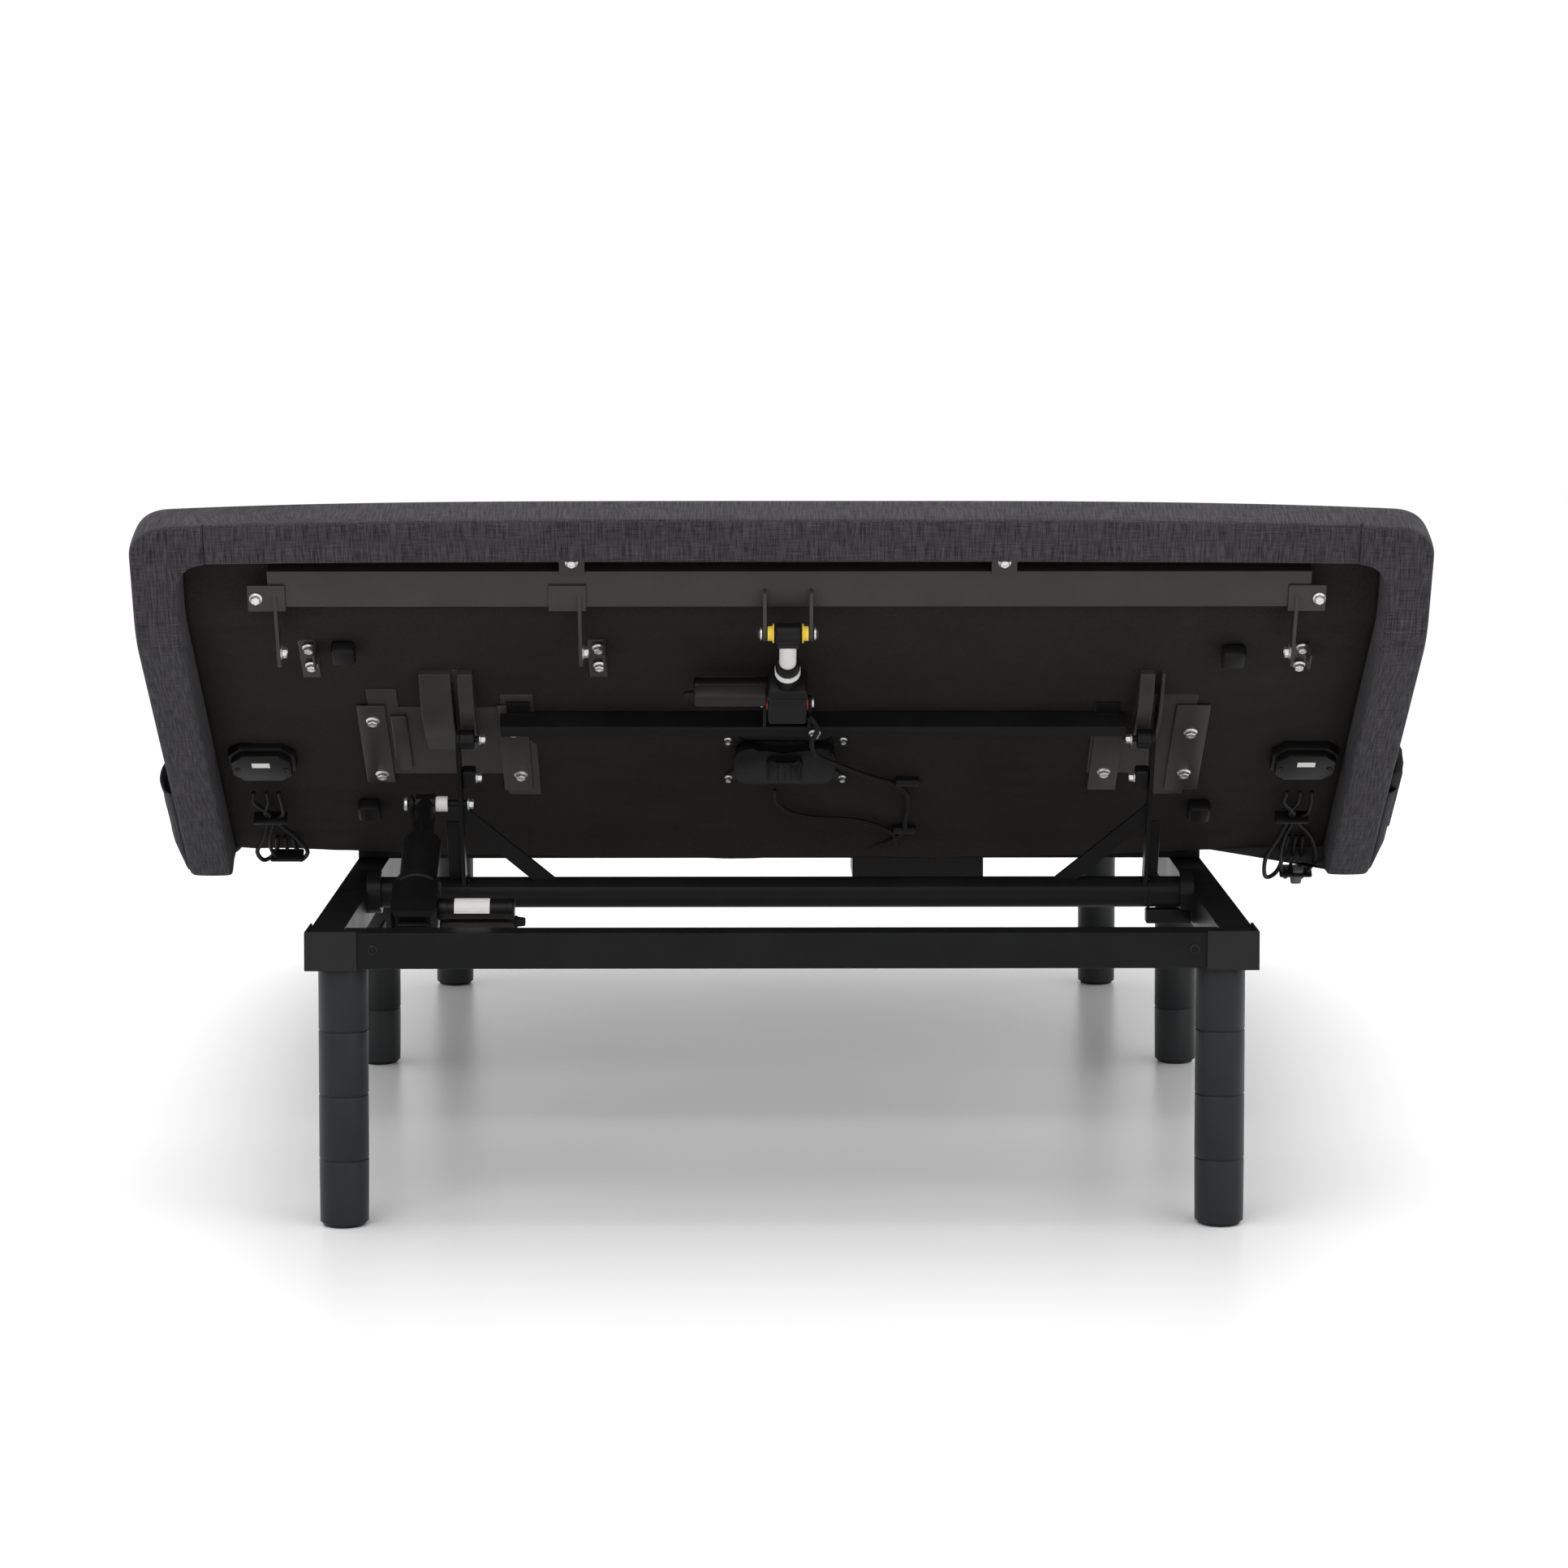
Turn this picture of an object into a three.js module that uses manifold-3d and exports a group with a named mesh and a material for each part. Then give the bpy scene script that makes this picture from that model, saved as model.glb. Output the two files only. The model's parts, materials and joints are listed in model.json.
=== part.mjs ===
// Adjustable bed base: a steel frame on six legs, a four-section upholstered deck
// and three linear motors. Millimetres, +Z up, +Y towards the foot, +X to the right
// when looking along +Y. The origin is the bottom centre of the bounding box.
// Heights are above the floor. "Row" Y starts at the head-end legs; the whole group
// is moved to its origin in the last lines.
import * as THREE from "three";
import { mergeVertices } from "three/addons/utils/BufferGeometryUtils.js";
import Module from "manifold-3d";

const wasm = await Module();
wasm.setup();
const rad = THREE.MathUtils.degToRad;

// ---- Driving dimensions ----
const DECK_WIDTH = 1506;
const DECK_TOP = 430; // height of the deck surface when flat
const RIM_DEPTH = 64; // how far the upholstered rim reaches below the deck surface
const RIM_WIDTH = 54;
const PADDING = 8;
const BOARD = 9.5;
const COVER = 0.6; // dust cover
const CORNER_RADIUS = 55;
const SECTION_GAP = 2;

const PILLOW_LENGTH = 140;
const BACK_LENGTH = 528;
const SEAT_LENGTH = 248;
const THIGH_LENGTH = 428;
const CALF_LENGTH = 667;
const BACK_HINGE_Y = 419;
const HINGE_INSET = 60; // the back hinge lies this far inside the back section's end
const BACK_REST = 38.9; // degrees, as modelled
const BACK_MAX = 58;
const PILLOW_REST = 28; // degrees above the back section, as modelled

const FRAME_HALF_WIDTH = 551;
const FRAME_LENGTH = 1638;
const HEAD_RAIL_FRONT = -35;
const RAIL_WIDTH = 40;
const RAIL_HEIGHT = 42;
const TUBE_WALL = 2;
const LEG_RADIUS = 29;
const LEG_SEGMENT = 76;
const LEG_SEGMENTS = 4;
const LEG_GLIDE = 3;
const HEAD_LEG_X = 513;
const MID_LEG_X = 563;
const MID_LEG_Y = 949;
const FOOT_LEG_X = 505;
const FOOT_LEG_Y = 1568;

const TORQUE_RADIUS = 19;
const HEAD_TORQUE_Y = 290;
const HEAD_TORQUE_Z = 346;
const ARM_LENGTH = 228;
const ARM_REST = 63; // degrees above horizontal, pointing to the head
const ARM_RATIO = 1.35; // arm degrees per degree of the back
const ARM_THICKNESS = 5;
const ROLLER_RADIUS = 12;
const LEFT_ARM_X = -392;
const RIGHT_ARM_X = 452;
const BACK_PIN_LENGTH = 133; // along the left arm
const BACK_MOTOR_X = -435;
const BACK_MOUNT_Y = 32;
const BACK_MOUNT_Z = 322;

const FOOT_TORQUE_Y = 800;
const FOOT_TORQUE_Z = 366;
const FOOT_ARM_RATIO = 1.3; // arm degrees per degree of the thigh section
const THIGH_MAX = 35;
const FOOT_ARM_LENGTH = 200;
const FOOT_ARM_X = 300;
const FOOT_PIN_LENGTH = 133;
const FOOT_MOTOR_X = -252;
const FOOT_MOUNT_Y = 1240;
const FOOT_MOUNT_Z = 322;

const FIT = 0.3; // between pieces that touch
const RUNNING = 0.8; // between pieces that turn or slide
const PLATE = 3;

// ---- Values that follow from them ----
const rimBottom = -RIM_DEPTH;
const boardTop = -PADDING - FIT;
const boardBottom = boardTop - BOARD;
const coverTop = boardBottom - FIT;
const underside = coverTop - COVER;
const innerHalf = DECK_WIDTH / 2 - RIM_WIDTH;
const legTop = LEG_GLIDE + LEG_SEGMENTS * LEG_SEGMENT;
const railBottom = legTop + FIT;
const railTop = railBottom + RAIL_HEIGHT;
const railZ = railBottom + RAIL_HEIGHT / 2;
const headRailBack = HEAD_RAIL_FRONT + RAIL_WIDTH;
const footRailFront = HEAD_RAIL_FRONT + FRAME_LENGTH - RAIL_WIDTH;
const seatStart = BACK_HINGE_Y + HINGE_INSET + SECTION_GAP;
const thighStart = seatStart + SEAT_LENGTH + SECTION_GAP;
const torqueHalf = FRAME_HALF_WIDTH - RAIL_WIDTH - PLATE;
const foldStart = BACK_LENGTH - HINGE_INSET + SECTION_GAP;

// ---- Materials ----
const paint = (color, roughness, metalness) =>
  new THREE.MeshStandardMaterial({ color, roughness, metalness });
const blackSteel = () => paint(0x17171a, 0.42, 0.6);
const satinSteel = () => paint(0x35312f, 0.45, 0.5);
const blackPlastic = () => paint(0x121214, 0.5, 0);
const legPlastic = () => paint(0x1a1c22, 0.55, 0);
const linen = () => paint(0x3a3a40, 0.95, 0);
const plywood = () => paint(0x8a6c48, 0.8, 0);
const nonWoven = () => paint(0x1c1a19, 0.95, 0);
const zinc = () => paint(0xd8dade, 0.3, 0.9);
const greyPlastic = () => paint(0x2a2a28, 0.5, 0.1);

// ---- Helpers ----
const bed = new THREE.Group();

function part(parent, name, geometry, material, x = 0, y = 0, z = 0) {
  const mesh = new THREE.Mesh(geometry, material);
  mesh.name = name;
  mesh.position.set(x, y, z);
  parent.add(mesh);
  return mesh;
}

function pivot(parent, x, y, z, tilt = 0) {
  const group = new THREE.Group();
  group.position.set(x, y, z);
  group.rotation.x = rad(tilt);
  parent.add(group);
  return group;
}

// A box given by its limits on each axis.
function block(x0, x1, y0, y1, z0, z1) {
  const geometry = new THREE.BoxGeometry(x1 - x0, y1 - y0, z1 - z0);
  geometry.translate((x0 + x1) / 2, (y0 + y1) / 2, (z0 + z1) / 2);
  return geometry;
}

function asSolid(geometry) {
  const bare = geometry.index ? geometry.toNonIndexed() : geometry.clone();
  bare.deleteAttribute("normal");
  bare.deleteAttribute("uv");
  const merged = mergeVertices(bare, 1e-4);
  const vertProperties = new Float32Array(merged.attributes.position.array);
  const corners = merged.index.array;
  const kept = [];
  for (let i = 0; i < corners.length; i += 3) {
    const [a, b, c] = [corners[i], corners[i + 1], corners[i + 2]];
    if (a !== b && b !== c && c !== a) kept.push(a, b, c);
  }
  const triVerts = new Uint32Array(kept);
  return new wasm.Manifold(new wasm.Mesh({ numProp: 3, vertProperties, triVerts }));
}

function asGeometry(solid) {
  const { vertProperties, triVerts } = solid.getMesh();
  const geometry = new THREE.BufferGeometry();
  geometry.setAttribute("position", new THREE.BufferAttribute(vertProperties, 3));
  geometry.setIndex(new THREE.BufferAttribute(triVerts, 1));
  return geometry;
}

function joined(...geometries) {
  return asGeometry(geometries.map(asSolid).reduce((a, b) => a.add(b)));
}

function cut(geometry, ...tools) {
  return asGeometry(tools.map(asSolid).reduce((a, b) => a.subtract(b), asSolid(geometry)));
}

// Extrudes an outline from z = 0 upwards. Points that repeat where an arc starts are left out.
function extruded(shape, depth, curveSegments) {
  const drawn = shape.getPoints(curveSegments);
  const apart = drawn.filter((point, i) => point.distanceTo(drawn.at(i - 1)) > 0.01);
  const outline = new THREE.Shape(apart);
  outline.holes = shape.holes;
  return new THREE.ExtrudeGeometry(outline, { depth, bevelEnabled: false });
}

// Extrudes a shape drawn in (Y, Z) along X, from x0 to x1.
function alongX(shape, x0, x1) {
  const geometry = extruded(shape, x1 - x0, 5);
  const toYZ = new THREE.Matrix4().makeBasis(
    new THREE.Vector3(0, 1, 0),
    new THREE.Vector3(0, 0, 1),
    new THREE.Vector3(1, 0, 0),
  );
  return geometry.applyMatrix4(toYZ).translate(x0, 0, 0);
}

// A cylinder about the X axis, centred on (y, z).
function barX(radius, x0, x1, y = 0, z = 0, sides = 20) {
  const geometry = new THREE.CylinderGeometry(radius, radius, x1 - x0, sides);
  return geometry.rotateZ(Math.PI / 2).translate((x0 + x1) / 2, y, z);
}

// A cylinder about the Y axis, from y0 to y1.
function barY(radius, y0, y1, sides = 20) {
  return new THREE.CylinderGeometry(radius, radius, y1 - y0, sides).translate(0, (y0 + y1) / 2, 0);
}

// A round tube about the Y axis, open at both ends unless the floor is left in at y0.
function sleeveY(outer, inner, y0, y1, floor = 0) {
  const bottom = floor > 0 ? y0 + floor : y0 - 1;
  return cut(barY(outer, y0, y1), barY(inner, bottom, y1 + 1));
}

// A bar with round ends between two (Y, Z) points, as a shape.
function link(y0, z0, y1, z1, halfWidth) {
  const angle = Math.atan2(z1 - z0, y1 - y0);
  const shape = new THREE.Shape();
  shape.absarc(y0, z0, halfWidth, angle + Math.PI / 2, angle + 1.5 * Math.PI);
  shape.absarc(y1, z1, halfWidth, angle - Math.PI / 2, angle + Math.PI / 2);
  shape.closePath();
  return shape;
}

// A rectangular tube of steel with open ends, its length along X or along Y.
function squareTube(width, height, length, lengthwise) {
  const shape = new THREE.Shape();
  const [w, h] = [width / 2, height / 2];
  shape.moveTo(-w, -h).lineTo(w, -h).lineTo(w, h).lineTo(-w, h).closePath();
  const bore = new THREE.Path();
  const [a, b] = [w - TUBE_WALL, h - TUBE_WALL];
  bore.moveTo(-a, -b).lineTo(-a, b).lineTo(a, b).lineTo(a, -b).closePath();
  shape.holes.push(bore);
  const tube = alongX(shape, -length / 2, length / 2);
  return lengthwise ? tube.rotateZ(Math.PI / 2) : tube;
}

// ---- Frame ----
function addRails() {
  const capWall = 3;
  const inside = FRAME_HALF_WIDTH - RAIL_WIDTH;
  const crossLength = 2 * (inside - FIT);
  const crossY = { head_rail: HEAD_RAIL_FRONT, foot_rail: footRailFront };
  for (const [name, y] of Object.entries(crossY)) {
    part(bed, name, squareTube(RAIL_WIDTH, RAIL_HEIGHT, crossLength), blackSteel(), 0, y + RAIL_WIDTH / 2, railZ);
  }
  for (const [name, side] of [["side_rail_left", -1], ["side_rail_right", 1]]) {
    const tube = squareTube(RAIL_WIDTH, RAIL_HEIGHT, FRAME_LENGTH, true);
    const x = side * (FRAME_HALF_WIDTH - RAIL_WIDTH / 2);
    tube.translate(x, HEAD_RAIL_FRONT + FRAME_LENGTH / 2, railZ);
    const bearings = [
      bearing(side, HEAD_TORQUE_Y, HEAD_TORQUE_Z),
      bearing(side, FOOT_TORQUE_Y, FOOT_TORQUE_Z),
    ];
    part(bed, name, joined(tube, ...bearings), blackSteel());
  }
  for (const [endName, y, away] of [["head", HEAD_RAIL_FRONT, -1], ["foot", footRailFront + RAIL_WIDTH, 1]]) {
    for (const [sideName, side] of [["left", -1], ["right", 1]]) {
      const near = FRAME_HALF_WIDTH + FIT;
      const x = [side * (near - RAIL_WIDTH - 18), side * (near + capWall)].sort((a, b) => a - b);
      const ends = [y + away * FIT, y + away * (FIT + capWall)].sort((a, b) => a - b);
      const wrap = [y + away * (FIT + capWall), y - away * 60].sort((a, b) => a - b);
      const skin = [side * near, side * (near + capWall)].sort((a, b) => a - b);
      const front = block(...x, ...ends, railBottom - 2, railTop + 2);
      const flank = block(...skin, ...wrap, railBottom - 2, railTop + 2);
      part(bed, `corner_cap_${endName}_${sideName}`, joined(front, flank), greyPlastic());
    }
  }
}

// An ear welded inside the side rail, with the hole that a torque tube turns in.
function bearing(side, y, z) {
  const innerFace = side * (FRAME_HALF_WIDTH - RAIL_WIDTH);
  const x = [innerFace - side * 16, innerFace + side * 1].sort((a, b) => a - b);
  const outer = TORQUE_RADIUS + 7;
  const foot = block(...x, y - outer, y + outer, Math.min(railZ, z), Math.max(railZ, z));
  const ring = joined(foot, barX(outer, ...x, y, z, 24));
  return cut(ring, barX(TORQUE_RADIUS + RUNNING, x[0] - 1, x[1] + 1, y, z, 24));
}

function addLegs() {
  const legs = [
    ["head_left", -HEAD_LEG_X, 0],
    ["head_right", HEAD_LEG_X, 0],
    ["mid_left", -MID_LEG_X, MID_LEG_Y],
    ["mid_right", MID_LEG_X, MID_LEG_Y],
    ["foot_left", -FOOT_LEG_X, FOOT_LEG_Y],
    ["foot_right", FOOT_LEG_X, FOOT_LEG_Y],
  ];
  for (const [name, x, y] of legs) {
    const outline = [new THREE.Vector2(0, 0), new THREE.Vector2(LEG_RADIUS - 3, 0)];
    outline.push(new THREE.Vector2(LEG_RADIUS, LEG_GLIDE));
    outline.push(new THREE.Vector2(LEG_RADIUS, legTop), new THREE.Vector2(0, legTop));
    const leg = new THREE.LatheGeometry(outline, 28).rotateX(Math.PI / 2);
    part(bed, `leg_${name}`, leg, legPlastic(), x, y, 0);
  }
  for (const [name, side] of [["left", -1], ["right", 1]]) {
    const outer = side * (MID_LEG_X + LEG_RADIUS);
    const inner = side * (FRAME_HALF_WIDTH + FIT);
    const x = [inner, outer].sort((a, b) => a - b);
    const shelf = block(...x, MID_LEG_Y - 35, MID_LEG_Y + 35, railBottom, railBottom + PLATE);
    const wall = [inner, inner + side * PLATE].sort((a, b) => a - b);
    const upright = block(...wall, MID_LEG_Y - 35, MID_LEG_Y + 35, railBottom, railTop);
    part(bed, `leg_bracket_${name}`, joined(shelf, upright), blackSteel());
  }
}

function addSeat() {
  part(bed, "seat_panel", board(SEAT_LENGTH), plywood(), 0, seatStart, DECK_TOP);
  part(bed, "seat_upholstery", upholstery(SEAT_LENGTH, 0), linen(), 0, seatStart, DECK_TOP);
  const height = DECK_TOP + boardBottom - FIT - railTop - FIT;
  const depth = 40;
  for (const [name, y] of [["head", seatStart + 68], ["foot", seatStart + SEAT_LENGTH - 50]]) {
    const tube = squareTube(depth, height, 2 * FRAME_HALF_WIDTH);
    part(bed, `seat_cross_tube_${name}`, tube, blackSteel(), 0, y + depth / 2, railTop + FIT + height / 2);
  }
  const boxTop = railTop;
  const box = block(96, 268, seatStart + 84, seatStart + 200, boxTop - 30, boxTop);
  part(bed, "control_box", box, blackPlastic());
}

// A bracket beside a motor's rear end: a plate across it, and one cheek that holds its pin.
const MOUNT_CHEEK_X = -36; // beside the motor's rear pin
const MOUNT_FLANGE = 30;

function motorBracket(cheekX, facing, depth, z0, z1) {
  const across = [0, facing * PLATE].sort((a, b) => a - b);
  const along = [0, facing * depth].sort((a, b) => a - b);
  const plate = block(cheekX - MOUNT_FLANGE, cheekX + 2, ...across, Math.max(z0, railBottom), z1);
  return joined(plate, block(cheekX - 2, cheekX + 2, ...along, z0, z1));
}

function addMounts() {
  const headBracket = motorBracket(MOUNT_CHEEK_X, 1, 62, BACK_MOUNT_Z - 22, railTop - 1);
  part(bed, "back_motor_mount", headBracket, blackSteel(), BACK_MOTOR_X, headRailBack + FIT, 0);
  const half = FRAME_HALF_WIDTH - RAIL_WIDTH - FIT;
  const beam = block(-half - FOOT_MOTOR_X, half - FOOT_MOTOR_X, 0, 30, railTop - 30, railTop);
  const footBracket = motorBracket(MOUNT_CHEEK_X, -1, 60, FOOT_MOUNT_Z - 28, railTop);
  part(bed, "foot_motor_mount", joined(beam, footBracket), blackSteel(), FOOT_MOTOR_X, FOOT_MOUNT_Y + 30, 0);
}

// ---- Deck sections: each starts at its own y = 0 and runs along +Y, with z = 0 on top ----
function plan(halfWidth, y0, y1, radius) {
  const shape = new THREE.Shape();
  const r = radius;
  shape.moveTo(-halfWidth, y0).lineTo(halfWidth, y0);
  if (r > 0) {
    shape.lineTo(halfWidth, y1 - r).absarc(halfWidth - r, y1 - r, r, 0, Math.PI / 2);
    shape.lineTo(-halfWidth + r, y1).absarc(-halfWidth + r, y1 - r, r, Math.PI / 2, Math.PI);
  } else {
    shape.lineTo(halfWidth, y1).lineTo(-halfWidth, y1);
  }
  shape.closePath();
  return shape;
}

function slab(shape, z0, z1) {
  return extruded(shape, z1 - z0, 6).translate(0, 0, z0);
}

// Padding with a rim that hangs down at both sides, and at the far end when it is an end section.
function upholstery(length, endRim) {
  const radius = endRim > 0 ? CORNER_RADIUS : 0;
  const outer = slab(plan(DECK_WIDTH / 2, 0, length, radius), rimBottom, 0);
  const recessRadius = Math.max(radius - endRim, 0);
  const recessEnd = endRim > 0 ? length - endRim : length + 1;
  return cut(outer, slab(plan(innerHalf, -1, recessEnd, recessRadius), rimBottom - 1, -PADDING));
}

function board(length, endRim = 0) {
  const end = endRim > 0 ? length - endRim - FIT : length;
  const radius = endRim > 0 ? Math.max(CORNER_RADIUS - endRim, 0) : 0;
  return slab(plan(innerHalf - FIT, 0, end, radius), boardBottom, boardTop);
}

// ---- Back section, in a group whose +Y points back to the head along the panel ----
const backGroup = pivot(bed, 0, BACK_HINGE_Y, DECK_TOP, -BACK_REST);
const backDeck = new THREE.Group();
backDeck.rotation.z = Math.PI;
backGroup.add(backDeck);

function addBack() {
  const start = -HINGE_INSET;
  part(backDeck, "back_panel", board(BACK_LENGTH), plywood(), 0, start, 0);
  part(backDeck, "back_upholstery", upholstery(BACK_LENGTH, 0), linen(), 0, start, 0);
  const half = innerHalf - 6;
  const sheet = block(-half, half, start + 2, start + BACK_LENGTH - 2, underside, coverTop);
  part(backDeck, "back_dust_cover", sheet, nonWoven());
}

// How deep the roller's top runs below the deck surface, and how far from the hinge,
// when the back is raised to the given angle.
function rollerTrack(backAngle) {
  const arm = rad(ARM_REST + ARM_RATIO * (backAngle - BACK_REST));
  const y = HEAD_TORQUE_Y - ARM_LENGTH * Math.cos(arm) - BACK_HINGE_Y;
  const z = HEAD_TORQUE_Z + ARM_LENGTH * Math.sin(arm) - DECK_TOP;
  const tilt = rad(backAngle);
  const along = -y * Math.cos(tilt) + z * Math.sin(tilt);
  const depth = y * Math.sin(tilt) + z * Math.cos(tilt);
  return [along, depth + ROLLER_RADIUS];
}

const ROLLER_GAP = 1.3;

// Hat-shaped bracket under the back panel; its face is the track that the roller runs on.
function addLiftBrackets() {
  const plateTop = underside - FIT;
  const plateBottom = plateTop - PLATE;
  const track = [];
  for (let step = 0; step <= 8; step += 1) {
    const [along, depth] = rollerTrack((BACK_MAX * step) / 8);
    track.push([along, Math.min(depth + ROLLER_GAP, plateBottom)]);
  }
  const far = track[0][0] + 8;
  const close = track[8][0] - 8;
  const shape = new THREE.Shape();
  shape.moveTo(far, plateTop).lineTo(far, track[0][1]);
  track.forEach(([along, depth]) => shape.lineTo(along, depth));
  shape.lineTo(close, track[8][1]).lineTo(close, plateTop).closePath();
  const brackets = [
    ["left", LEFT_ARM_X - 10, 32, [-102, -62, 62, 99]],
    ["right", RIGHT_ARM_X - 7, 15, [-60, -18, 24, 64]],
  ];
  for (const [name, x, hatHalf, flanges] of brackets) {
    const armX = x - (name === "left" ? LEFT_ARM_X : RIGHT_ARM_X);
    const slot = block(armX - 4, armX + 4, close - 1, far + 1, -DECK_TOP, plateBottom);
    const hat = cut(alongX(shape, -hatHalf, hatHalf), slot);
    const [x0, x1, x2, x3] = flanges;
    const low = 136 - HINGE_INSET;
    const high = 378 - HINGE_INSET;
    const bridge = block(x0, x3, low + 50, high - 40, plateBottom, plateTop);
    const inner = block(x0, x1, low, high - 12, plateBottom, plateTop);
    const outer = block(x2, x3, low + 50, high, plateBottom, plateTop);
    part(backDeck, `lift_bracket_${name}`, joined(hat, bridge, inner, outer), satinSteel(), -x, 0, 0);
  }
}

const TILT_CROSSBAR_S = 318; // from the lower end of the back section
const CROSSBAR_X = 39;
const CROSSBAR_LENGTH = 760;
const crossbarZ = underside - 2 * FIT - PLATE - 11; // it lies on the lift brackets' flanges
const TILT_MOTOR_X = 7;

function addBackFittings() {
  const top = underside - FIT;
  const shift = TILT_MOTOR_X - CROSSBAR_X;
  const bar = squareTube(22, 22, CROSSBAR_LENGTH).translate(shift, 0, 0);
  const tabs = [-1, 1].map((side) => {
    const x = shift + side * (CROSSBAR_LENGTH / 2 - 22);
    return block(x - 14, x + 14, 0, 34, 8, 11);
  });
  const cheeks = [-1, 1].map((side) => tiltCheek(side * TILT_CHEEK));
  const y = TILT_CROSSBAR_S - HINGE_INSET;
  const crossbar = joined(bar, ...tabs, ...cheeks);
  part(backDeck, "tilt_motor_crossbar", crossbar, blackSteel(), -TILT_MOTOR_X, y, crossbarZ);
  const hinges = [["left", -562], ["centre", -219], ["right", 616]];
  for (const [name, x] of hinges) {
    const plate = block(-11, 11, 0, 80, -PLATE, 0);
    const ear = block(-11, -8, 50, 80, -26, 0);
    part(backDeck, `tilt_hinge_${name}`, joined(plate, ear), satinSteel(), -x, 405 - HINGE_INSET, top);
  }
  const motor = massageMotor();
  part(backDeck, "massage_motor", motor, blackPlastic(), -5, 222 - HINGE_INSET, top);
  for (const [name, x] of [["left", -640], ["right", 648]]) {
    part(backDeck, `usb_hub_${name}`, hub(), blackPlastic(), -x, 228 - HINGE_INSET, top);
  }
}

const TILT_CHEEK = 27;
const TILT_PIN = { y: 32, z: -63 }; // from the fold, in the back section's directions
const TILT_MOUNT = { s: 396, z: -52 };

// A plate that reaches from the crossbar to the tilt motor's rear pin.
function tiltCheek(x) {
  const reach = TILT_MOUNT.s - TILT_CROSSBAR_S;
  const drop = TILT_MOUNT.z - crossbarZ;
  return alongX(link(0, 0, reach, drop, 9), x - 2, x + 2);
}

function massageMotor() {
  const base = block(-74, 74, -52, 52, -3, 0);
  const body = block(-62, 62, -46, 46, -18, -2);
  const centre = block(-22, 22, -34, 34, -26, -15);
  return joined(base, body, centre);
}

function hub() {
  const shape = new THREE.Shape();
  const [w, h, c] = [41, 31, 15];
  shape.moveTo(-w + c, -h).lineTo(w - c, -h).lineTo(w, -h + c).lineTo(w, h - c);
  shape.lineTo(w - c, h).lineTo(-w + c, h).lineTo(-w, h - c).lineTo(-w, -h + c).closePath();
  return slab(shape, -24, 0);
}

const POCKET = { wall: 2, from: 12, floor: 95, mouth: 198, below: 58, above: 6, gap: 16 };
const HANDSET_THICKNESS = 11;

// A fabric pocket on the outer face of the rim, open towards the head.
function addPockets() {
  const face = DECK_WIDTH / 2 + FIT;
  const outer = face + POCKET.gap;
  for (const [name, side] of [["left", 1], ["right", -1]]) {
    const span = (a, b) => [side * a, side * b].sort((p, q) => p - q);
    const y = [POCKET.from, POCKET.mouth];
    const z = [-POCKET.below, -POCKET.above];
    const body = block(...span(face, outer), ...y, ...z);
    const inner = span(face + POCKET.wall, outer - POCKET.wall);
    const room = block(...inner, POCKET.floor, POCKET.mouth + 1, z[0] + POCKET.wall, z[1] - POCKET.wall);
    part(backDeck, `pocket_${name}`, cut(body, room), linen(), 0, -HINGE_INSET, 0);
  }
  const handset = slab(handsetPlan(), -HANDSET_THICKNESS / 2, HANDSET_THICKNESS / 2).rotateY(Math.PI / 2);
  const x = -(face + POCKET.gap / 2);
  const y = POCKET.floor + FIT - HINGE_INSET;
  part(backDeck, "handset", handset, blackPlastic(), x, y, -(POCKET.below + POCKET.above) / 2);
}

function handsetPlan() {
  const [w, length, r] = [20, 150, 12];
  const shape = new THREE.Shape();
  shape.absarc(w - r, r, r, -Math.PI / 2, 0).absarc(w - r, length - r, r, 0, Math.PI / 2);
  shape.absarc(-w + r, length - r, r, Math.PI / 2, Math.PI).absarc(-w + r, r, r, Math.PI, 1.5 * Math.PI);
  shape.closePath();
  return shape;
}

// ---- Pillow section, tilting on the far end of the back ----
const pillowGroup = pivot(backDeck, 0, foldStart - SECTION_GAP / 2, 0, PILLOW_REST);
const CROSSBAR = { half: 607, x: 9, from: 18, depth: 46, drop: 22 };
const LEVER = { half: 27, thickness: 4 };

function addPillow() {
  const start = SECTION_GAP / 2;
  part(pillowGroup, "pillow_panel", board(PILLOW_LENGTH, RIM_WIDTH), plywood(), 0, start, 0);
  part(pillowGroup, "pillow_upholstery", upholstery(PILLOW_LENGTH, RIM_WIDTH), linen(), 0, start, 0);
  const top = boardBottom - FIT;
  const bar = squareTube(CROSSBAR.depth, CROSSBAR.drop, 2 * CROSSBAR.half);
  bar.translate(-CROSSBAR.x, CROSSBAR.from + CROSSBAR.depth / 2, top - CROSSBAR.drop / 2);
  const pieces = [bar];
  const turn = rad(-PILLOW_REST);
  const pinY = TILT_PIN.y * Math.cos(turn) - TILT_PIN.z * Math.sin(turn);
  const pinZ = TILT_PIN.y * Math.sin(turn) + TILT_PIN.z * Math.cos(turn);
  for (const side of [-1, 1]) {
    const x = -TILT_MOTOR_X + side * LEVER.half;
    const z = top - CROSSBAR.drop + 1;
    const shape = link(pinY, pinZ, CROSSBAR.from + 14, z, 9);
    pieces.push(alongX(shape, x - LEVER.thickness / 2, x + LEVER.thickness / 2));
  }
  for (const x of [-590, -236, 600]) {
    pieces.push(alongX(link(-56, -31, CROSSBAR.from + 10, -36, 10), -x - 2, -x + 2));
  }
  pieces.push(barX(5, -TILT_MOTOR_X - LEVER.half - 8, -TILT_MOTOR_X + LEVER.half + 8, pinY, pinZ, 16));
  part(pillowGroup, "tilt_crossbar", joined(...pieces), satinSteel());
}

// ---- Motors: each is drawn along its own +Y axis, from the driven pin at y = 0 ----
const PIN_RADIUS = 5;

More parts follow.
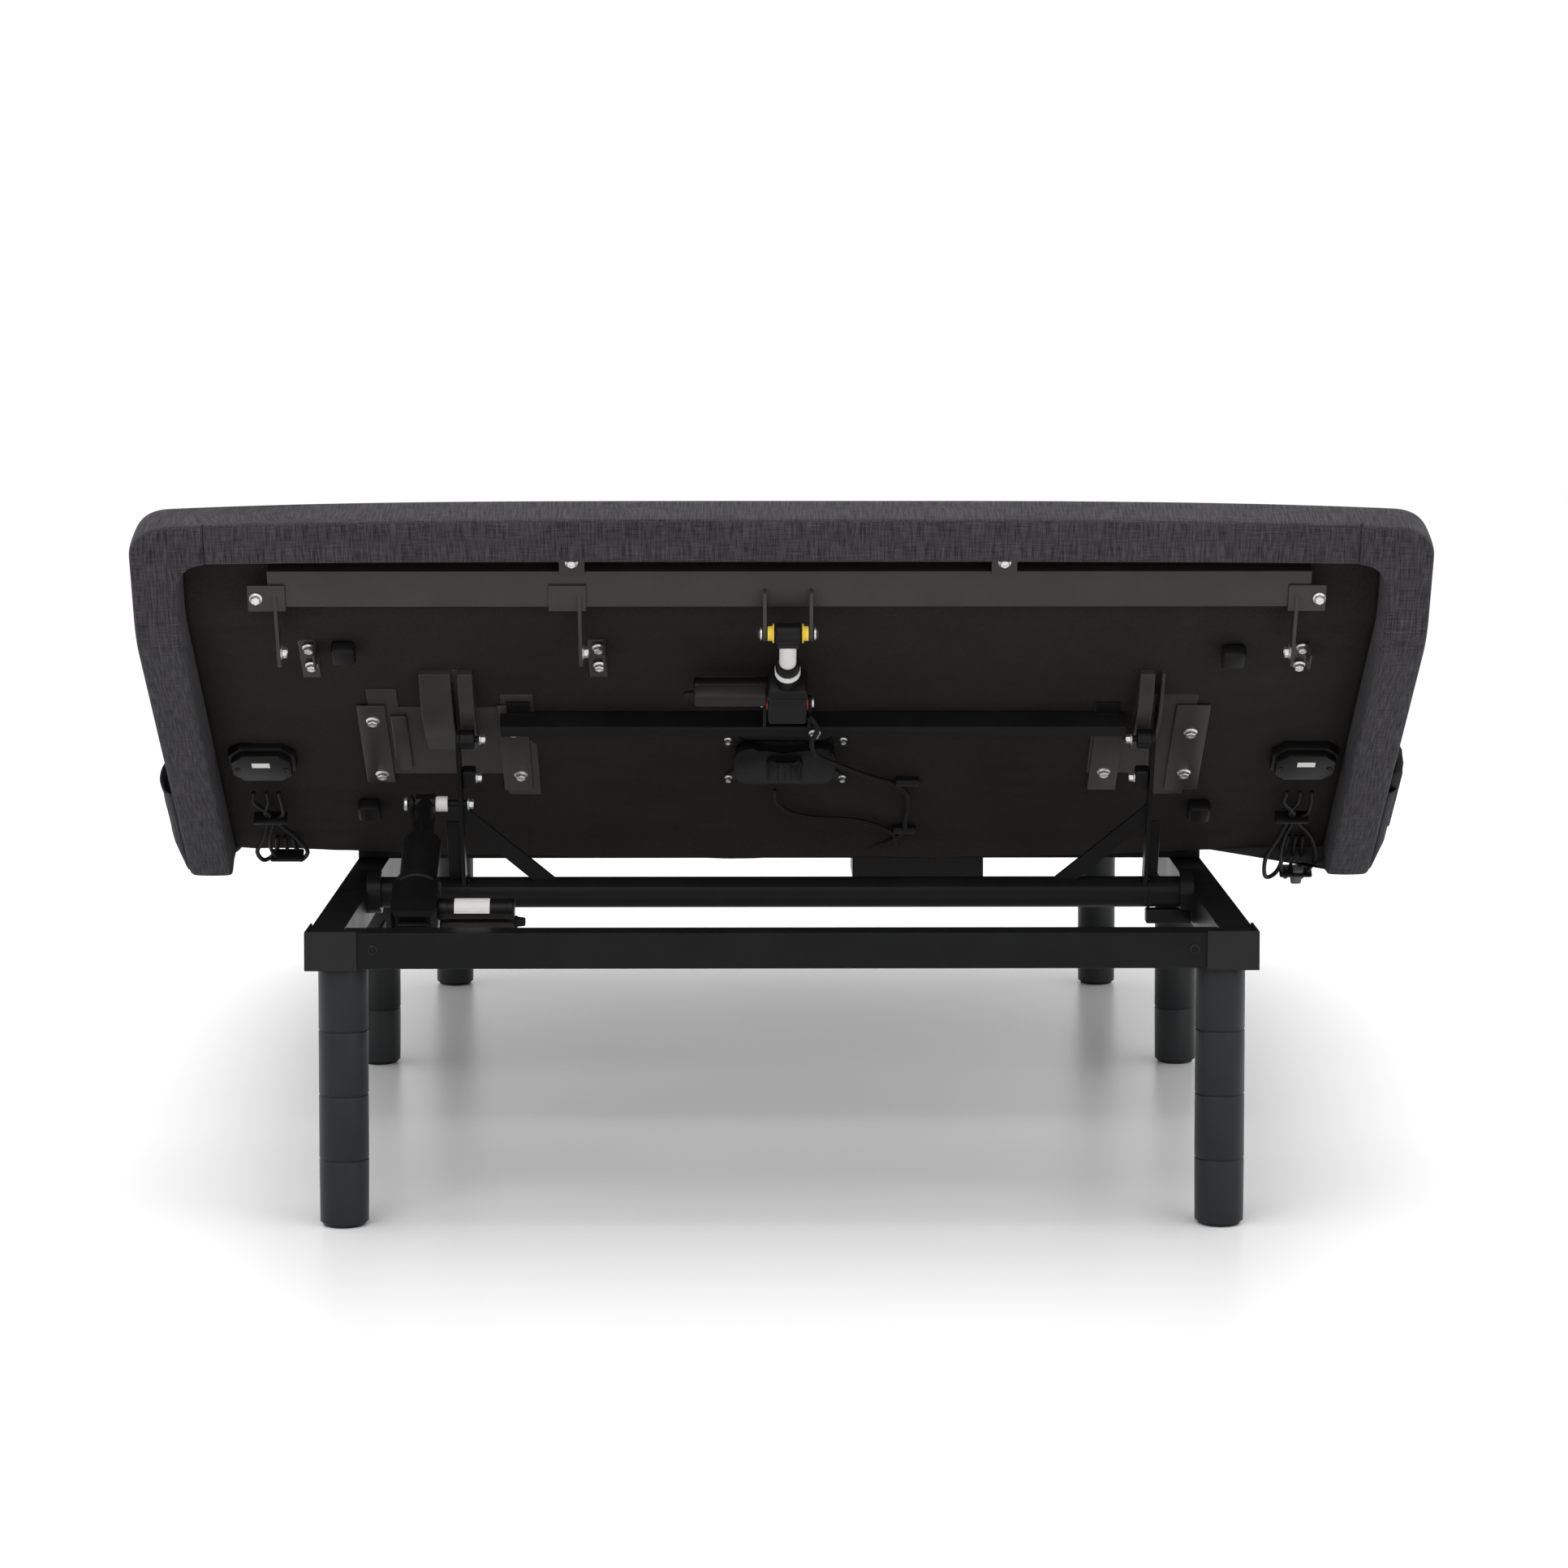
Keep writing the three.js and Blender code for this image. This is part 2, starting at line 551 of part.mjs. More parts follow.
function motorRod(radius, length, headRadius, headWidth) {
  const head = barX(headRadius, -headWidth / 2, headWidth / 2);
  const hole = barX(PIN_RADIUS + RUNNING, -headWidth, headWidth, 0, 0, 16);
  return cut(joined(head, barY(radius, 0, length)), hole);
}

// Gearbox, its hollow tube and the motor that stands out to one side.
function motorBody({ tube, bore, from, box, to, boxHalf, thick, motorFrom, motorTo, motorY, below }) {
  const shell = joined(barY(tube, from, box + 2), block(-boxHalf, boxHalf, box, to, -thick, thick));
  const x = [motorFrom, motorTo].sort((a, b) => a - b);
  const can = barX(13, ...x, motorY, below > 0 ? -6 : 0);
  const driver = block(...x, motorY - 13, motorY + 13, below - 4, below + 18);
  return cut(joined(shell, can, driver), barY(bore, from - 1, to - 10));
}

// A group at a driven pin, turned so that its +Y points from the pin to the rear mount.
function motorLine(parent, x, pinY, pinZ, mountY, mountZ) {
  const tilt = THREE.MathUtils.radToDeg(Math.atan2(mountZ - pinZ, mountY - pinY));
  return pivot(parent, x, pinY, pinZ, tilt);
}

// ---- Back lift: torque tube with two arms, rollers and a three-stage motor ----
function addBackLift() {
  const group = pivot(bed, 0, HEAD_TORQUE_Y, HEAD_TORQUE_Z, 180 - ARM_REST);
  const tube = barX(TORQUE_RADIUS, -torqueHalf, torqueHalf);
  const pieces = [];
  const arm = link(0, 0, ARM_LENGTH, 0, 11);
  for (const x of [LEFT_ARM_X, RIGHT_ARM_X]) {
    const inward = -Math.sign(x);
    pieces.push(alongX(arm, x - ARM_THICKNESS / 2, x + ARM_THICKNESS / 2));
    const axle = [x, x + inward * 26].sort((a, b) => a - b);
    pieces.push(barX(4, ...axle, ARM_LENGTH, 0, 16));
    pieces.push(brace(x, inward));
  }
  const outerPlate = BACK_MOTOR_X - 17;
  pieces.push(alongX(link(0, 0, BACK_PIN_LENGTH, 0, 11), outerPlate - 2, outerPlate + 2));
  pieces.push(barX(PIN_RADIUS, outerPlate - 5, LEFT_ARM_X + 8, BACK_PIN_LENGTH, 0, 16));
  const hollow = barX(TORQUE_RADIUS - 3, -torqueHalf - 1, torqueHalf + 1);
  const welded = cut(joined(tube, ...pieces), hollow);
  part(group, "back_torque_tube", welded, blackSteel());
  for (const [name, x] of [["left", LEFT_ARM_X], ["right", RIGHT_ARM_X]]) {
    const inward = -Math.sign(x);
    const near = x + inward * (ARM_THICKNESS / 2 + FIT);
    const span = [near, near + inward * 17].sort((a, b) => a - b);
    const wheel = cut(barX(ROLLER_RADIUS, ...span), barX(4 + FIT, span[0] - 1, span[1] + 1, 0, 0, 16));
    part(group, `lift_roller_${name}`, wheel, blackPlastic(), 0, ARM_LENGTH, 0);
  }
}

// A flat bar from half way up an arm down to the torque tube.
function brace(x, inward) {
  const shape = new THREE.Shape();
  const [top, foot, reach, half] = [118, 6, 104, 12];
  shape.moveTo(x, top - half).lineTo(x + inward * reach, foot - half + 6);
  shape.lineTo(x + inward * (reach + half), foot + half).lineTo(x, top + half * 1.4).closePath();
  return slab(inward > 0 ? shape : new THREE.Shape(shape.getPoints().reverse()), -2, 2);
}

const BACK_GEARBOX = 32; // from the rear pin to the top of the gearbox
const BACK_TUBE_END = 120;
const BACK_STAGE = 86;
const BACK_SLIDE = 2.8; // millimetres of stroke per degree of the back

function addBackMotor() {
  const arm = rad(ARM_REST);
  const pinY = HEAD_TORQUE_Y - BACK_PIN_LENGTH * Math.cos(arm);
  const pinZ = HEAD_TORQUE_Z + BACK_PIN_LENGTH * Math.sin(arm);
  const group = motorLine(bed, BACK_MOTOR_X, pinY, pinZ, BACK_MOUNT_Y, BACK_MOUNT_Z);
  const reach = Math.hypot(pinY - BACK_MOUNT_Y, pinZ - BACK_MOUNT_Z);
  const drawnIn = BACK_SLIDE * BACK_REST;
  const rodLength = reach - (BACK_GEARBOX + 3) - drawnIn;
  part(group, "back_rod", motorRod(12.5, rodLength, 12, 24), blackSteel());
  const sleeveFrom = reach - drawnIn / 2 - BACK_GEARBOX - 2 - BACK_STAGE;
  part(group, "back_sleeve", sleeveY(23.5, 13.3, sleeveFrom, sleeveFrom + BACK_STAGE), blackPlastic());
  const body = motorBody({
    tube: 29,
    bore: 24.3,
    from: reach - BACK_TUBE_END,
    box: reach - BACK_GEARBOX,
    to: reach + 8,
    boxHalf: 27,
    thick: 20,
    motorFrom: 26,
    motorTo: 118,
    motorY: reach - 14,
    below: 8,
  });
  part(group, "back_motor", body, blackPlastic());
}

function addTiltMotor() {
  const foldY = foldStart - SECTION_GAP / 2;
  const pinY = foldY + TILT_PIN.y;
  const mountY = TILT_MOUNT.s - HINGE_INSET;
  const group = motorLine(backDeck, -TILT_MOTOR_X, pinY, TILT_PIN.z, mountY, TILT_MOUNT.z);
  const reach = Math.hypot(pinY - mountY, TILT_PIN.z - TILT_MOUNT.z);
  part(group, "tilt_rod", motorRod(10, reach - 50, 12, 30), zinc());
  const body = motorBody({
    tube: 14.5,
    bore: 10.8,
    from: reach - 98,
    box: reach - 55,
    to: reach + 26,
    boxHalf: 24,
    thick: 18,
    motorFrom: 23,
    motorTo: 118,
    motorY: reach - 30,
    below: -8,
  });
  part(group, "tilt_motor", body, greyPlastic());
}

// ---- Foot part: thigh and calf sections, their torque tube and motor ----
const thighGroup = pivot(bed, 0, thighStart - SECTION_GAP / 2, DECK_TOP);
const calfGroup = pivot(thighGroup, 0, THIGH_LENGTH + SECTION_GAP, rimBottom);

function footTrack(thighAngle) {
  const arm = rad(FOOT_ARM_RATIO * thighAngle);
  const y = FOOT_TORQUE_Y + FOOT_ARM_LENGTH * Math.cos(arm) - thighStart + SECTION_GAP / 2;
  const z = FOOT_TORQUE_Z + FOOT_ARM_LENGTH * Math.sin(arm) - DECK_TOP;
  const tilt = rad(thighAngle);
  return [y * Math.cos(tilt) + z * Math.sin(tilt), z * Math.cos(tilt) - y * Math.sin(tilt) + ROLLER_RADIUS];
}

function addFootSections() {
  const start = SECTION_GAP / 2;
  part(thighGroup, "thigh_panel", board(THIGH_LENGTH), plywood(), 0, start, 0);
  part(thighGroup, "thigh_upholstery", upholstery(THIGH_LENGTH, 0), linen(), 0, start, 0);
  part(calfGroup, "calf_panel", board(CALF_LENGTH, RIM_WIDTH), plywood(), 0, start, RIM_DEPTH);
  part(calfGroup, "calf_upholstery", upholstery(CALF_LENGTH, RIM_WIDTH), linen(), 0, start, RIM_DEPTH);
  const shape = new THREE.Shape();
  const padTop = boardBottom - FIT;
  const track = [0, 1, 2, 3, 4, 5].map((step) => footTrack((THIGH_MAX * step) / 5));
  shape.moveTo(track[0][0] + 14, padTop).lineTo(track[0][0] + 14, track[0][1] + RUNNING);
  track.forEach(([along, depth]) => shape.lineTo(along, depth + RUNNING));
  shape.lineTo(track[5][0] - 14, track[5][1] + RUNNING).lineTo(track[5][0] - 14, padTop).closePath();
  for (const [name, side] of [["left", -1], ["right", 1]]) {
    const x = side * FOOT_ARM_X;
    part(thighGroup, `thigh_lift_pad_${name}`, alongX(shape, x - 18, x + 18), satinSteel());
  }
}

function addFootLift() {
  const group = pivot(bed, 0, FOOT_TORQUE_Y, FOOT_TORQUE_Z);
  const pieces = [barX(TORQUE_RADIUS, -torqueHalf, torqueHalf)];
  for (const side of [-1, 1]) {
    const x = side * FOOT_ARM_X;
    pieces.push(alongX(link(0, 0, FOOT_ARM_LENGTH, 0, 10), x - 4, x + 4));
    pieces.push(barX(ROLLER_RADIUS, x - 12, x + 12, FOOT_ARM_LENGTH, 0));
  }
  for (const side of [-1, 1]) {
    const x = FOOT_MOTOR_X + side * 17;
    pieces.push(alongX(link(0, 0, FOOT_PIN_LENGTH, 0, 10), x - 2, x + 2));
  }
  pieces.push(barX(PIN_RADIUS, FOOT_MOTOR_X - 22, FOOT_MOTOR_X + 22, FOOT_PIN_LENGTH, 0, 16));
  const hollow = barX(TORQUE_RADIUS - 3, -torqueHalf - 1, torqueHalf + 1);
  part(group, "foot_torque_tube", cut(joined(...pieces), hollow), blackSteel());
}

function addFootMotor() {
  const pinY = FOOT_TORQUE_Y + FOOT_PIN_LENGTH;
  const group = motorLine(bed, FOOT_MOTOR_X, pinY, FOOT_TORQUE_Z, FOOT_MOUNT_Y, FOOT_MOUNT_Z);
  const reach = Math.hypot(pinY - FOOT_MOUNT_Y, FOOT_TORQUE_Z - FOOT_MOUNT_Z);
  part(group, "foot_rod", motorRod(12.5, reach - 60, 12, 24), zinc());
  const body = motorBody({
    tube: 24,
    bore: 13.3,
    from: 60,
    box: reach - 50,
    to: reach + 5,
    boxHalf: 27,
    thick: 20,
    motorFrom: 26,
    motorTo: 118,
    motorY: reach - 24,
    below: -14,
  });
  part(group, "foot_motor", body, blackPlastic());
}

addRails();
addLegs();
addSeat();
addMounts();
addBack();
addLiftBrackets();
addBackFittings();
addPockets();
addPillow();
addBackLift();
addBackMotor();
addTiltMotor();
addFootSections();
addFootLift();
addFootMotor();

// The origin goes to the bottom centre of the whole bed.
bed.updateMatrixWorld(true);
const bounds = new THREE.Box3().setFromObject(bed, true);
bed.position.set(-(bounds.min.x + bounds.max.x) / 2, -(bounds.min.y + bounds.max.y) / 2, -bounds.min.z);

export default bed;
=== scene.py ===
# %% [markdown]
# # Adjustable bed base, seen from its raised head end
# A steel frame on six legs carries an upholstered deck in hinged sections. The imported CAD
# model is the fixed frame: every piece below is placed from its boxes, joints and record.

# %% Load the frame
import math
import json
import bpy
import bmesh
from mathutils import Matrix, Vector, noise


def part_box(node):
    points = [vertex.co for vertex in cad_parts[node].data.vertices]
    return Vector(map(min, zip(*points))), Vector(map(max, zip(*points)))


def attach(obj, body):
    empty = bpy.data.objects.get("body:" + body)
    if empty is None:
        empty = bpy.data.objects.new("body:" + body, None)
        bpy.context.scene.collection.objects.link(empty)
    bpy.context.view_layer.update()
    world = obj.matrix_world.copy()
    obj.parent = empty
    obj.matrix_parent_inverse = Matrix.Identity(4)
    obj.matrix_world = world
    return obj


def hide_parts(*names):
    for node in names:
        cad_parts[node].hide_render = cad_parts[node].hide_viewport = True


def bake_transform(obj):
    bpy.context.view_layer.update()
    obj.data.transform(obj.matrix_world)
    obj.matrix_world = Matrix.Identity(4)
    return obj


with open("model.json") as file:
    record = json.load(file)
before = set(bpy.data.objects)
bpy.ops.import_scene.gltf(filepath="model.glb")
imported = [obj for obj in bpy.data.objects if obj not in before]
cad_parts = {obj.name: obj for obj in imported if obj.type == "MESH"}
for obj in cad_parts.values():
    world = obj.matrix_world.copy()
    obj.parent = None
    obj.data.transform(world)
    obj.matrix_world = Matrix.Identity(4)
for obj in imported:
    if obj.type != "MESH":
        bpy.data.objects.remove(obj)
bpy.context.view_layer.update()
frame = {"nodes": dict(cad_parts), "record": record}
joint = {j["name"]: j for j in frame["record"]["behaviour"]["joints"]}
print("nodes", len(frame["nodes"]))

# %% [markdown]
# The camera stands at the head end, a little above the raised deck, and looks along the
# bed. The uprights stay nearly parallel: part of the drop is lens shift, the rest pitch.

# %% Camera
FOCAL = 4790.0 / 1932.0 * 36.0
camera_data = bpy.data.cameras.new("camera")
camera_data.sensor_width = 36.0
camera_data.lens = FOCAL
camera_data.shift_y = -0.182
camera_data.clip_end = 60.0
camera = bpy.data.objects.new("camera", camera_data)
bpy.context.collection.objects.link(camera)
camera.location = (-0.028, -5.3934, 1.104)
camera.rotation_euler = (math.radians(90 - 3.2), 0.0, math.radians(-0.385))
bpy.context.scene.camera = camera

# %% [markdown]
# Each deck section has its own plane. A point on it is given by x, the distance s from
# the section's hinge towards its free end, and the height z over the fabric.

# %% Deck planes
back_rest = math.radians(-joint["back_lift"]["range_deg"][0])
pillow_rest = back_rest + math.radians(-joint["pillow_tilt"]["range_deg"][0])
back_pivot = Vector(joint["back_lift"]["pos_m"])
pillow_pivot = Vector(joint["pillow_tilt"]["pos_m"])
DECK_TOP = back_pivot.z
HINGE_INSET = 0.06
BACK = 0.528
PILLOW = 0.14
RIM = 0.054
DEPTH = 0.064
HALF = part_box("seat_upholstery")[1][0]


def plane(pivot, angle, shift=0.0):
    """Returns a function from (x, s, z) to a point; s runs towards the head."""
    along = Vector((0, -math.cos(angle), math.sin(angle)))
    up = Vector((0, math.sin(angle), math.cos(angle)))
    return lambda x, s, z=0.0: pivot + Vector((x, 0, 0)) + along * (s - shift) + up * z


back = plane(back_pivot, back_rest, HINGE_INSET)
pillow = plane(pillow_pivot, pillow_rest)


def deck_point(x, s, z=0.0):
    """A point on the back, and past its end on the pillow section, with a soft fold."""
    fold = BACK + 0.001
    t = min(1.0, max(0.0, (s - fold + 0.012) / 0.024))
    t = t * t * (3 - 2 * t)
    return back(x, s, z).lerp(pillow(x, s - fold, z), t)


print("half width", HALF, "back", math.degrees(back_rest), "pillow", math.degrees(pillow_rest))

# %% [markdown]
# Curves and meshes are all made by a few small builders. A loft joins rows of points;
# its UVs are lengths in metres along and across the rows, so a weave keeps its scale.

# %% Mesh builders
def link(name, mesh, body, slot, *nodes):
    piece = bpy.data.objects.new(name, mesh)
    bpy.context.collection.objects.link(piece)
    if body:
        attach(piece, body)
    if nodes:
        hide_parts(*nodes)
    return piece


def loft(name, rows, closed=False, caps=True, uv_by_facing=False):
    """A mesh through rows of points; a closed row joins its last point to its first."""
    bm = bmesh.new()
    uv = bm.loops.layers.uv.new("UVMap")
    grid = [[bm.verts.new(p) for p in row] for row in rows]
    count = len(rows[0])
    across = [[0.0] for _ in rows]
    for row, sums in zip(rows, across):
        for a, b in zip(row, row[1:] + row[:1]):
            sums.append(sums[-1] + (Vector(b) - Vector(a)).length)
    along = [0.0]
    for a, b in zip(rows, rows[1:]):
        along.append(along[-1] + max((Vector(p) - Vector(q)).length for p, q in zip(a, b)))
    for i in range(len(rows) - 1):
        for j in range(count if closed else count - 1):
            k = (j + 1) % count
            face = bm.faces.new((grid[i][j], grid[i][k], grid[i + 1][k], grid[i + 1][j]))
            corners = ((i, j), (i, j + 1), (i + 1, j + 1), (i + 1, j))
            for loop, (r, c) in zip(face.loops, corners):
                loop[uv].uv = (across[r][c], along[r])
    if closed and caps:
        ends = [bm.faces.new(list(reversed(grid[0]))), bm.faces.new(grid[-1])]
        bmesh.ops.triangulate(bm, faces=ends)
    bmesh.ops.recalc_face_normals(bm, faces=bm.faces)
    for face in bm.faces:
        face.smooth = True
        if uv_by_facing:
            way = [abs(n) for n in face.normal]
            widest = way.index(max(way))
            for loop in face.loops:
                x, y, z = loop.vert.co
                loop[uv].uv = ((z, y), (x, z), (x, y))[widest]
    mesh = bpy.data.meshes.new(name)
    bm.to_mesh(mesh)
    bm.free()
    return mesh


def axes_for(direction):
    """Two unit vectors square to a direction."""
    d = Vector(direction).normalized()
    side = d.cross(Vector((1, 0, 0)) if abs(d.x) < 0.8 else Vector((0, 1, 0))).normalized()
    return side, d.cross(side)


def turned(bm, start, direction, profile, sides=32, first=0.0):
    """Adds a turned shape; the profile is (distance along, radius) pairs, closed at both ends."""
    start, direction = Vector(start), Vector(direction).normalized()
    u, v = axes_for(direction)
    rings = []
    for at, radius in profile:
        centre = start + direction * at
        turn = [first + 2 * math.pi * k / sides for k in range(sides)]
        rings.append([bm.verts.new(centre + (u * math.cos(a) + v * math.sin(a)) * radius) for a in turn])
    for a, b in zip(rings, rings[1:]):
        for k in range(sides):
            m = (k + 1) % sides
            bm.faces.new((a[k], a[m], b[m], b[k]))
    bm.faces.new(list(reversed(rings[0])))
    bm.faces.new(rings[-1])


def brick(bm, corner, xyz, size, bevel=0.0, segments=2):
    """Adds a box with rounded edges. xyz are its three axes; corner is its centre."""
    u, v, w = (Vector(a).normalized() for a in xyz)
    half = [s / 2 for s in size]
    made = []
    for i in (-1, 1):
        for j in (-1, 1):
            for k in (-1, 1):
                reach_out = u * half[0] * i + v * half[1] * j + w * half[2] * k
                made.append(bm.verts.new(Vector(corner) + reach_out))
    quads = ((0, 1, 3, 2), (4, 6, 7, 5), (0, 4, 5, 1), (2, 3, 7, 6), (0, 2, 6, 4), (1, 5, 7, 3))
    faces = [bm.faces.new([made[q] for q in quad]) for quad in quads]
    if bevel:
        edges = list({e for f in faces for e in f.edges})
        bmesh.ops.bevel(bm, geom=edges, offset=bevel, segments=segments, affect="EDGES", profile=0.5)


def finished(name, bm, body, slot, *nodes, angle=35):
    """Turns a bmesh into a piece with smooth faces and sharp edges over an angle."""
    bmesh.ops.recalc_face_normals(bm, faces=bm.faces)
    mesh = bpy.data.meshes.new(name)
    bm.to_mesh(mesh)
    bm.free()
    for polygon in mesh.polygons:
        polygon.use_smooth = True
    mesh.set_sharp_from_angle(angle=math.radians(angle))
    return link(name, mesh, body, slot, *nodes)


def tube_through(name, points, radius, body, slot, sides=12):
    """A round mesh tube along a smooth line through points, and the line itself."""
    points = [Vector(p) for p in points]
    line = []
    for i in range(len(points) - 1):
        a, b = points[i], points[i + 1]
        before = points[i - 1] if i else a * 2 - b
        after = points[i + 2] if i + 2 < len(points) else b * 2 - a
        for k in range(8):
            t = k / 8
            line.append(0.5 * ((2 * a) + (b - before) * t + (2 * before - 5 * a + 4 * b - after) * t * t
                               + (3 * a - before - 3 * b + after) * t ** 3))
    line.append(points[-1])
    rows = []
    side = axes_for(line[1] - line[0])[0]
    for i, p in enumerate(line):
        d = (line[min(i + 1, len(line) - 1)] - line[max(i - 1, 0)]).normalized()
        side = (side - d * side.dot(d)).normalized()
        other = d.cross(side)
        turn = [2 * math.pi * k / sides for k in range(sides)]
        rows.append([p + (side * math.cos(a) + other * math.sin(a)) * radius for a in turn])
    piece = link(name, loft(name, rows, closed=True), body, slot)
    length = sum((b - a).length for a, b in zip(line, line[1:]))
    return piece, line, length


# %% [markdown]
# The materials are built as node graphs. A small class wraps a socket, so that the maths
# reads as plain formulas while each operator adds one node.

# %% Shader sockets
class Sock:
    def __init__(self, tree, socket):
        self.tree, self.socket = tree, socket

    def node(self, kind, outputs=0, settings=None, **inputs):
        made = self.tree.nodes.new(kind)
        for key, value in (settings or {}).items():
            setattr(made, key, value)
        for key, value in inputs.items():
            numbered = key[0] == "i" and key[1:].isdigit()
            target = made.inputs[int(key[1:])] if numbered else made.inputs[key.replace("_", " ")]
            if isinstance(value, Sock):
                self.tree.links.new(value.socket, target)
            else:
                target.default_value = value
        return Sock(self.tree, made.outputs[outputs])

    def maths(self, operation, *values, clamp=False):
        inputs = {f"i{k}": v for k, v in enumerate(values)}
        return self.node("ShaderNodeMath", settings={"operation": operation, "use_clamp": clamp}, **inputs)

    def __add__(self, o): return self.maths("ADD", self, o)
    def __radd__(self, o): return self.maths("ADD", o, self)
    def __sub__(self, o): return self.maths("SUBTRACT", self, o)
    def __rsub__(self, o): return self.maths("SUBTRACT", o, self)
    def __mul__(self, o): return self.maths("MULTIPLY", self, o)
    def __rmul__(self, o): return self.maths("MULTIPLY", o, self)
    def __truediv__(self, o): return self.maths("DIVIDE", self, o)
    def __pow__(self, o): return self.maths("POWER", self, o)

    def sin(self): return self.maths("SINE", self)
    def clamp(self): return self.maths("ADD", self, 0.0, clamp=True)

    def over(self, low, high):
        """0 below low, 1 above high, smooth between."""
        return self.node("ShaderNodeMapRange", settings={"interpolation_type": "SMOOTHSTEP"},
                         Value=self, From_Min=low, From_Max=high)

    def mix(self, a, b):
        """Colour a where this is 0 and b where it is 1."""
        settings = {"data_type": "RGBA"}
        return self.node("ShaderNodeMix", 2, settings, i0=self, i6=a, i7=b)

    def stretched(self, x, y, z):
        return self.node("ShaderNodeVectorMath", settings={"operation": "MULTIPLY"}, i0=self, i1=(x, y, z))

    def noise(self, scale=1.0, detail=3.0, rough=0.55):
        return self.node("ShaderNodeTexNoise", Vector=self, Scale=scale, Detail=detail, Roughness=rough)

    def cells(self, scale=1.0, output=0):
        return self.node("ShaderNodeTexVoronoi", output, Vector=self, Scale=scale)

    def parts(self):
        made = self.tree.nodes.new("ShaderNodeSeparateXYZ")
        self.tree.links.new(self.socket, made.inputs[0])
        return [Sock(self.tree, o) for o in made.outputs]


def material(name, recipe, uv=False):
    """recipe(p, normal) gets the position and returns colour, roughness, height and extras."""
    made = bpy.data.materials.new(name)
    made.use_nodes = True
    tree = made.node_tree
    shader = tree.nodes["Principled BSDF"]
    coords = tree.nodes.new("ShaderNodeTexCoord")
    place = Sock(tree, coords.outputs["UV" if uv else "Object"])
    facing = Sock(tree, coords.outputs["Normal"])
    look = recipe(place, facing)
    bump = tree.nodes.new("ShaderNodeBump")
    bump.inputs["Distance"].default_value = look.pop("depth", 0.0002)
    bump.inputs["Strength"].default_value = look.pop("strength", 1.0)
    tree.links.new(look.pop("height").socket, bump.inputs["Height"])
    tree.links.new(bump.outputs["Normal"], shader.inputs["Normal"])
    for key, value in look.items():
        target = shader.inputs[key.replace("_", " ")]
        if isinstance(value, Sock):
            tree.links.new(value.socket, target)
        else:
            target.default_value = value
    return made


def grey(v, warm=0.0):
    """A near-grey colour; warm above 0 leans to red, below 0 to blue."""
    return (v * (1 + warm), v, v * (1 - warm), 1.0)


# %% [markdown]
# Charcoal upholstery linen: warp and weft threads about 1.3 mm apart, each thread with
# its own shade along its length, so the cloth looks heathered. The yarns stand out in
# relief, and a broad soft unevenness keeps the large faces from looking printed.

# %% Linen
def linen(p, facing):
    u, v, _ = p.parts()
    pitch = 0.0013
    warp = (u * (math.pi / pitch)).sin()
    weft = (v * (math.pi / pitch)).sin()
    over = (warp * weft).over(-0.25, 0.25)
    warp_shade = p.stretched(850.0, 42.0, 1.0).noise(1.0, 2.0)
    weft_shade = p.stretched(38.0, 900.0, 1.0).noise(1.0, 2.0)
    shade = over * warp_shade + (1.0 - over) * weft_shade
    slub = p.stretched(480.0, 34.0, 1.0).noise(1.0,
                                               2.0) * 0.75 + p.stretched(34.0, 480.0,
                                                                         1.0).noise(1.0, 2.0) * 0.25
    broad = p.noise(7.0, 3.0)
    tone = (shade - 0.5) * 2.0 + (slub - 0.5) * 2.0 + (broad - 0.5) * 0.3 + 0.42
    colour = tone.clamp().mix((0.0085, 0.0078, 0.0088, 1), (0.064, 0.0595, 0.067, 1))
    relief = (warp * warp + weft * weft) * 0.5 + shade * 0.8
    fuzz = p.noise(2400.0, 2.0)
    return {"Base_Color": colour, "Roughness": 0.82 + fuzz * 0.16, "height": relief + fuzz * 0.3,
            "depth": 0.00042,
            "Sheen_Weight": 0.06, "Sheen_Roughness": 0.5, "Specular_IOR_Level": 0.12}


# %% [markdown]
# Spun dust cover: a thin black-brown felt with a dotted bond pattern and matted fibres.

# %% Dust cover
def spun(p, facing):
    dots = p.cells(420.0)
    fibres = p.noise(900.0, 4.0, 0.7)
    broad = p.noise(9.0, 4.0)
    tone = fibres * 0.6 + broad * 0.4 + dots * 0.25
    colour = tone.over(0.3, 0.9).mix(grey(0.0042, 0.16), grey(0.0125, 0.18))
    return {"Base_Color": colour, "Roughness": 0.72 + fibres * 0.2,
            "height": dots.over(0.1, 0.5) + fibres * 0.5,
            "depth": 0.00025, "Specular_IOR_Level": 0.16}


# %% [markdown]
# Powder-coated steel: a satin skin with fine orange peel. Faces that look up are made
# lighter and rougher in broad patches, and small rubbed spots show paler.

# %% Coated steel
def coated(dark, light, rough, shine=0.10):
    def recipe(p, facing):
        peel = p.noise(620.0, 2.0)
        broad = p.noise(14.0, 4.0)
        rub = p.noise(90.0, 5.0, 0.7).over(0.66, 0.8)
        # Lighter and rougher where the face looks up, in broad patches.
        dust = facing.parts()[2].over(0.6, 1.0) * (broad * 0.6 + 0.2)
        tone = (broad - 0.5) * 0.8 + rub * 0.35 + dust * 0.4 + 0.4
        return {"Base_Color": tone.clamp().mix(dark, light),
                "Roughness": rough + (broad - 0.5) * 0.16 + dust * 0.2 - rub * 0.05,
                "height": peel, "depth": 0.00009, "Specular_IOR_Level": shine}
    return recipe


# %% [markdown]
# Moulded plastic has a fine grain, zinc shows its crystals as soft patches, rubber is dull
# and the boards are dark plywood. Each is one short recipe.

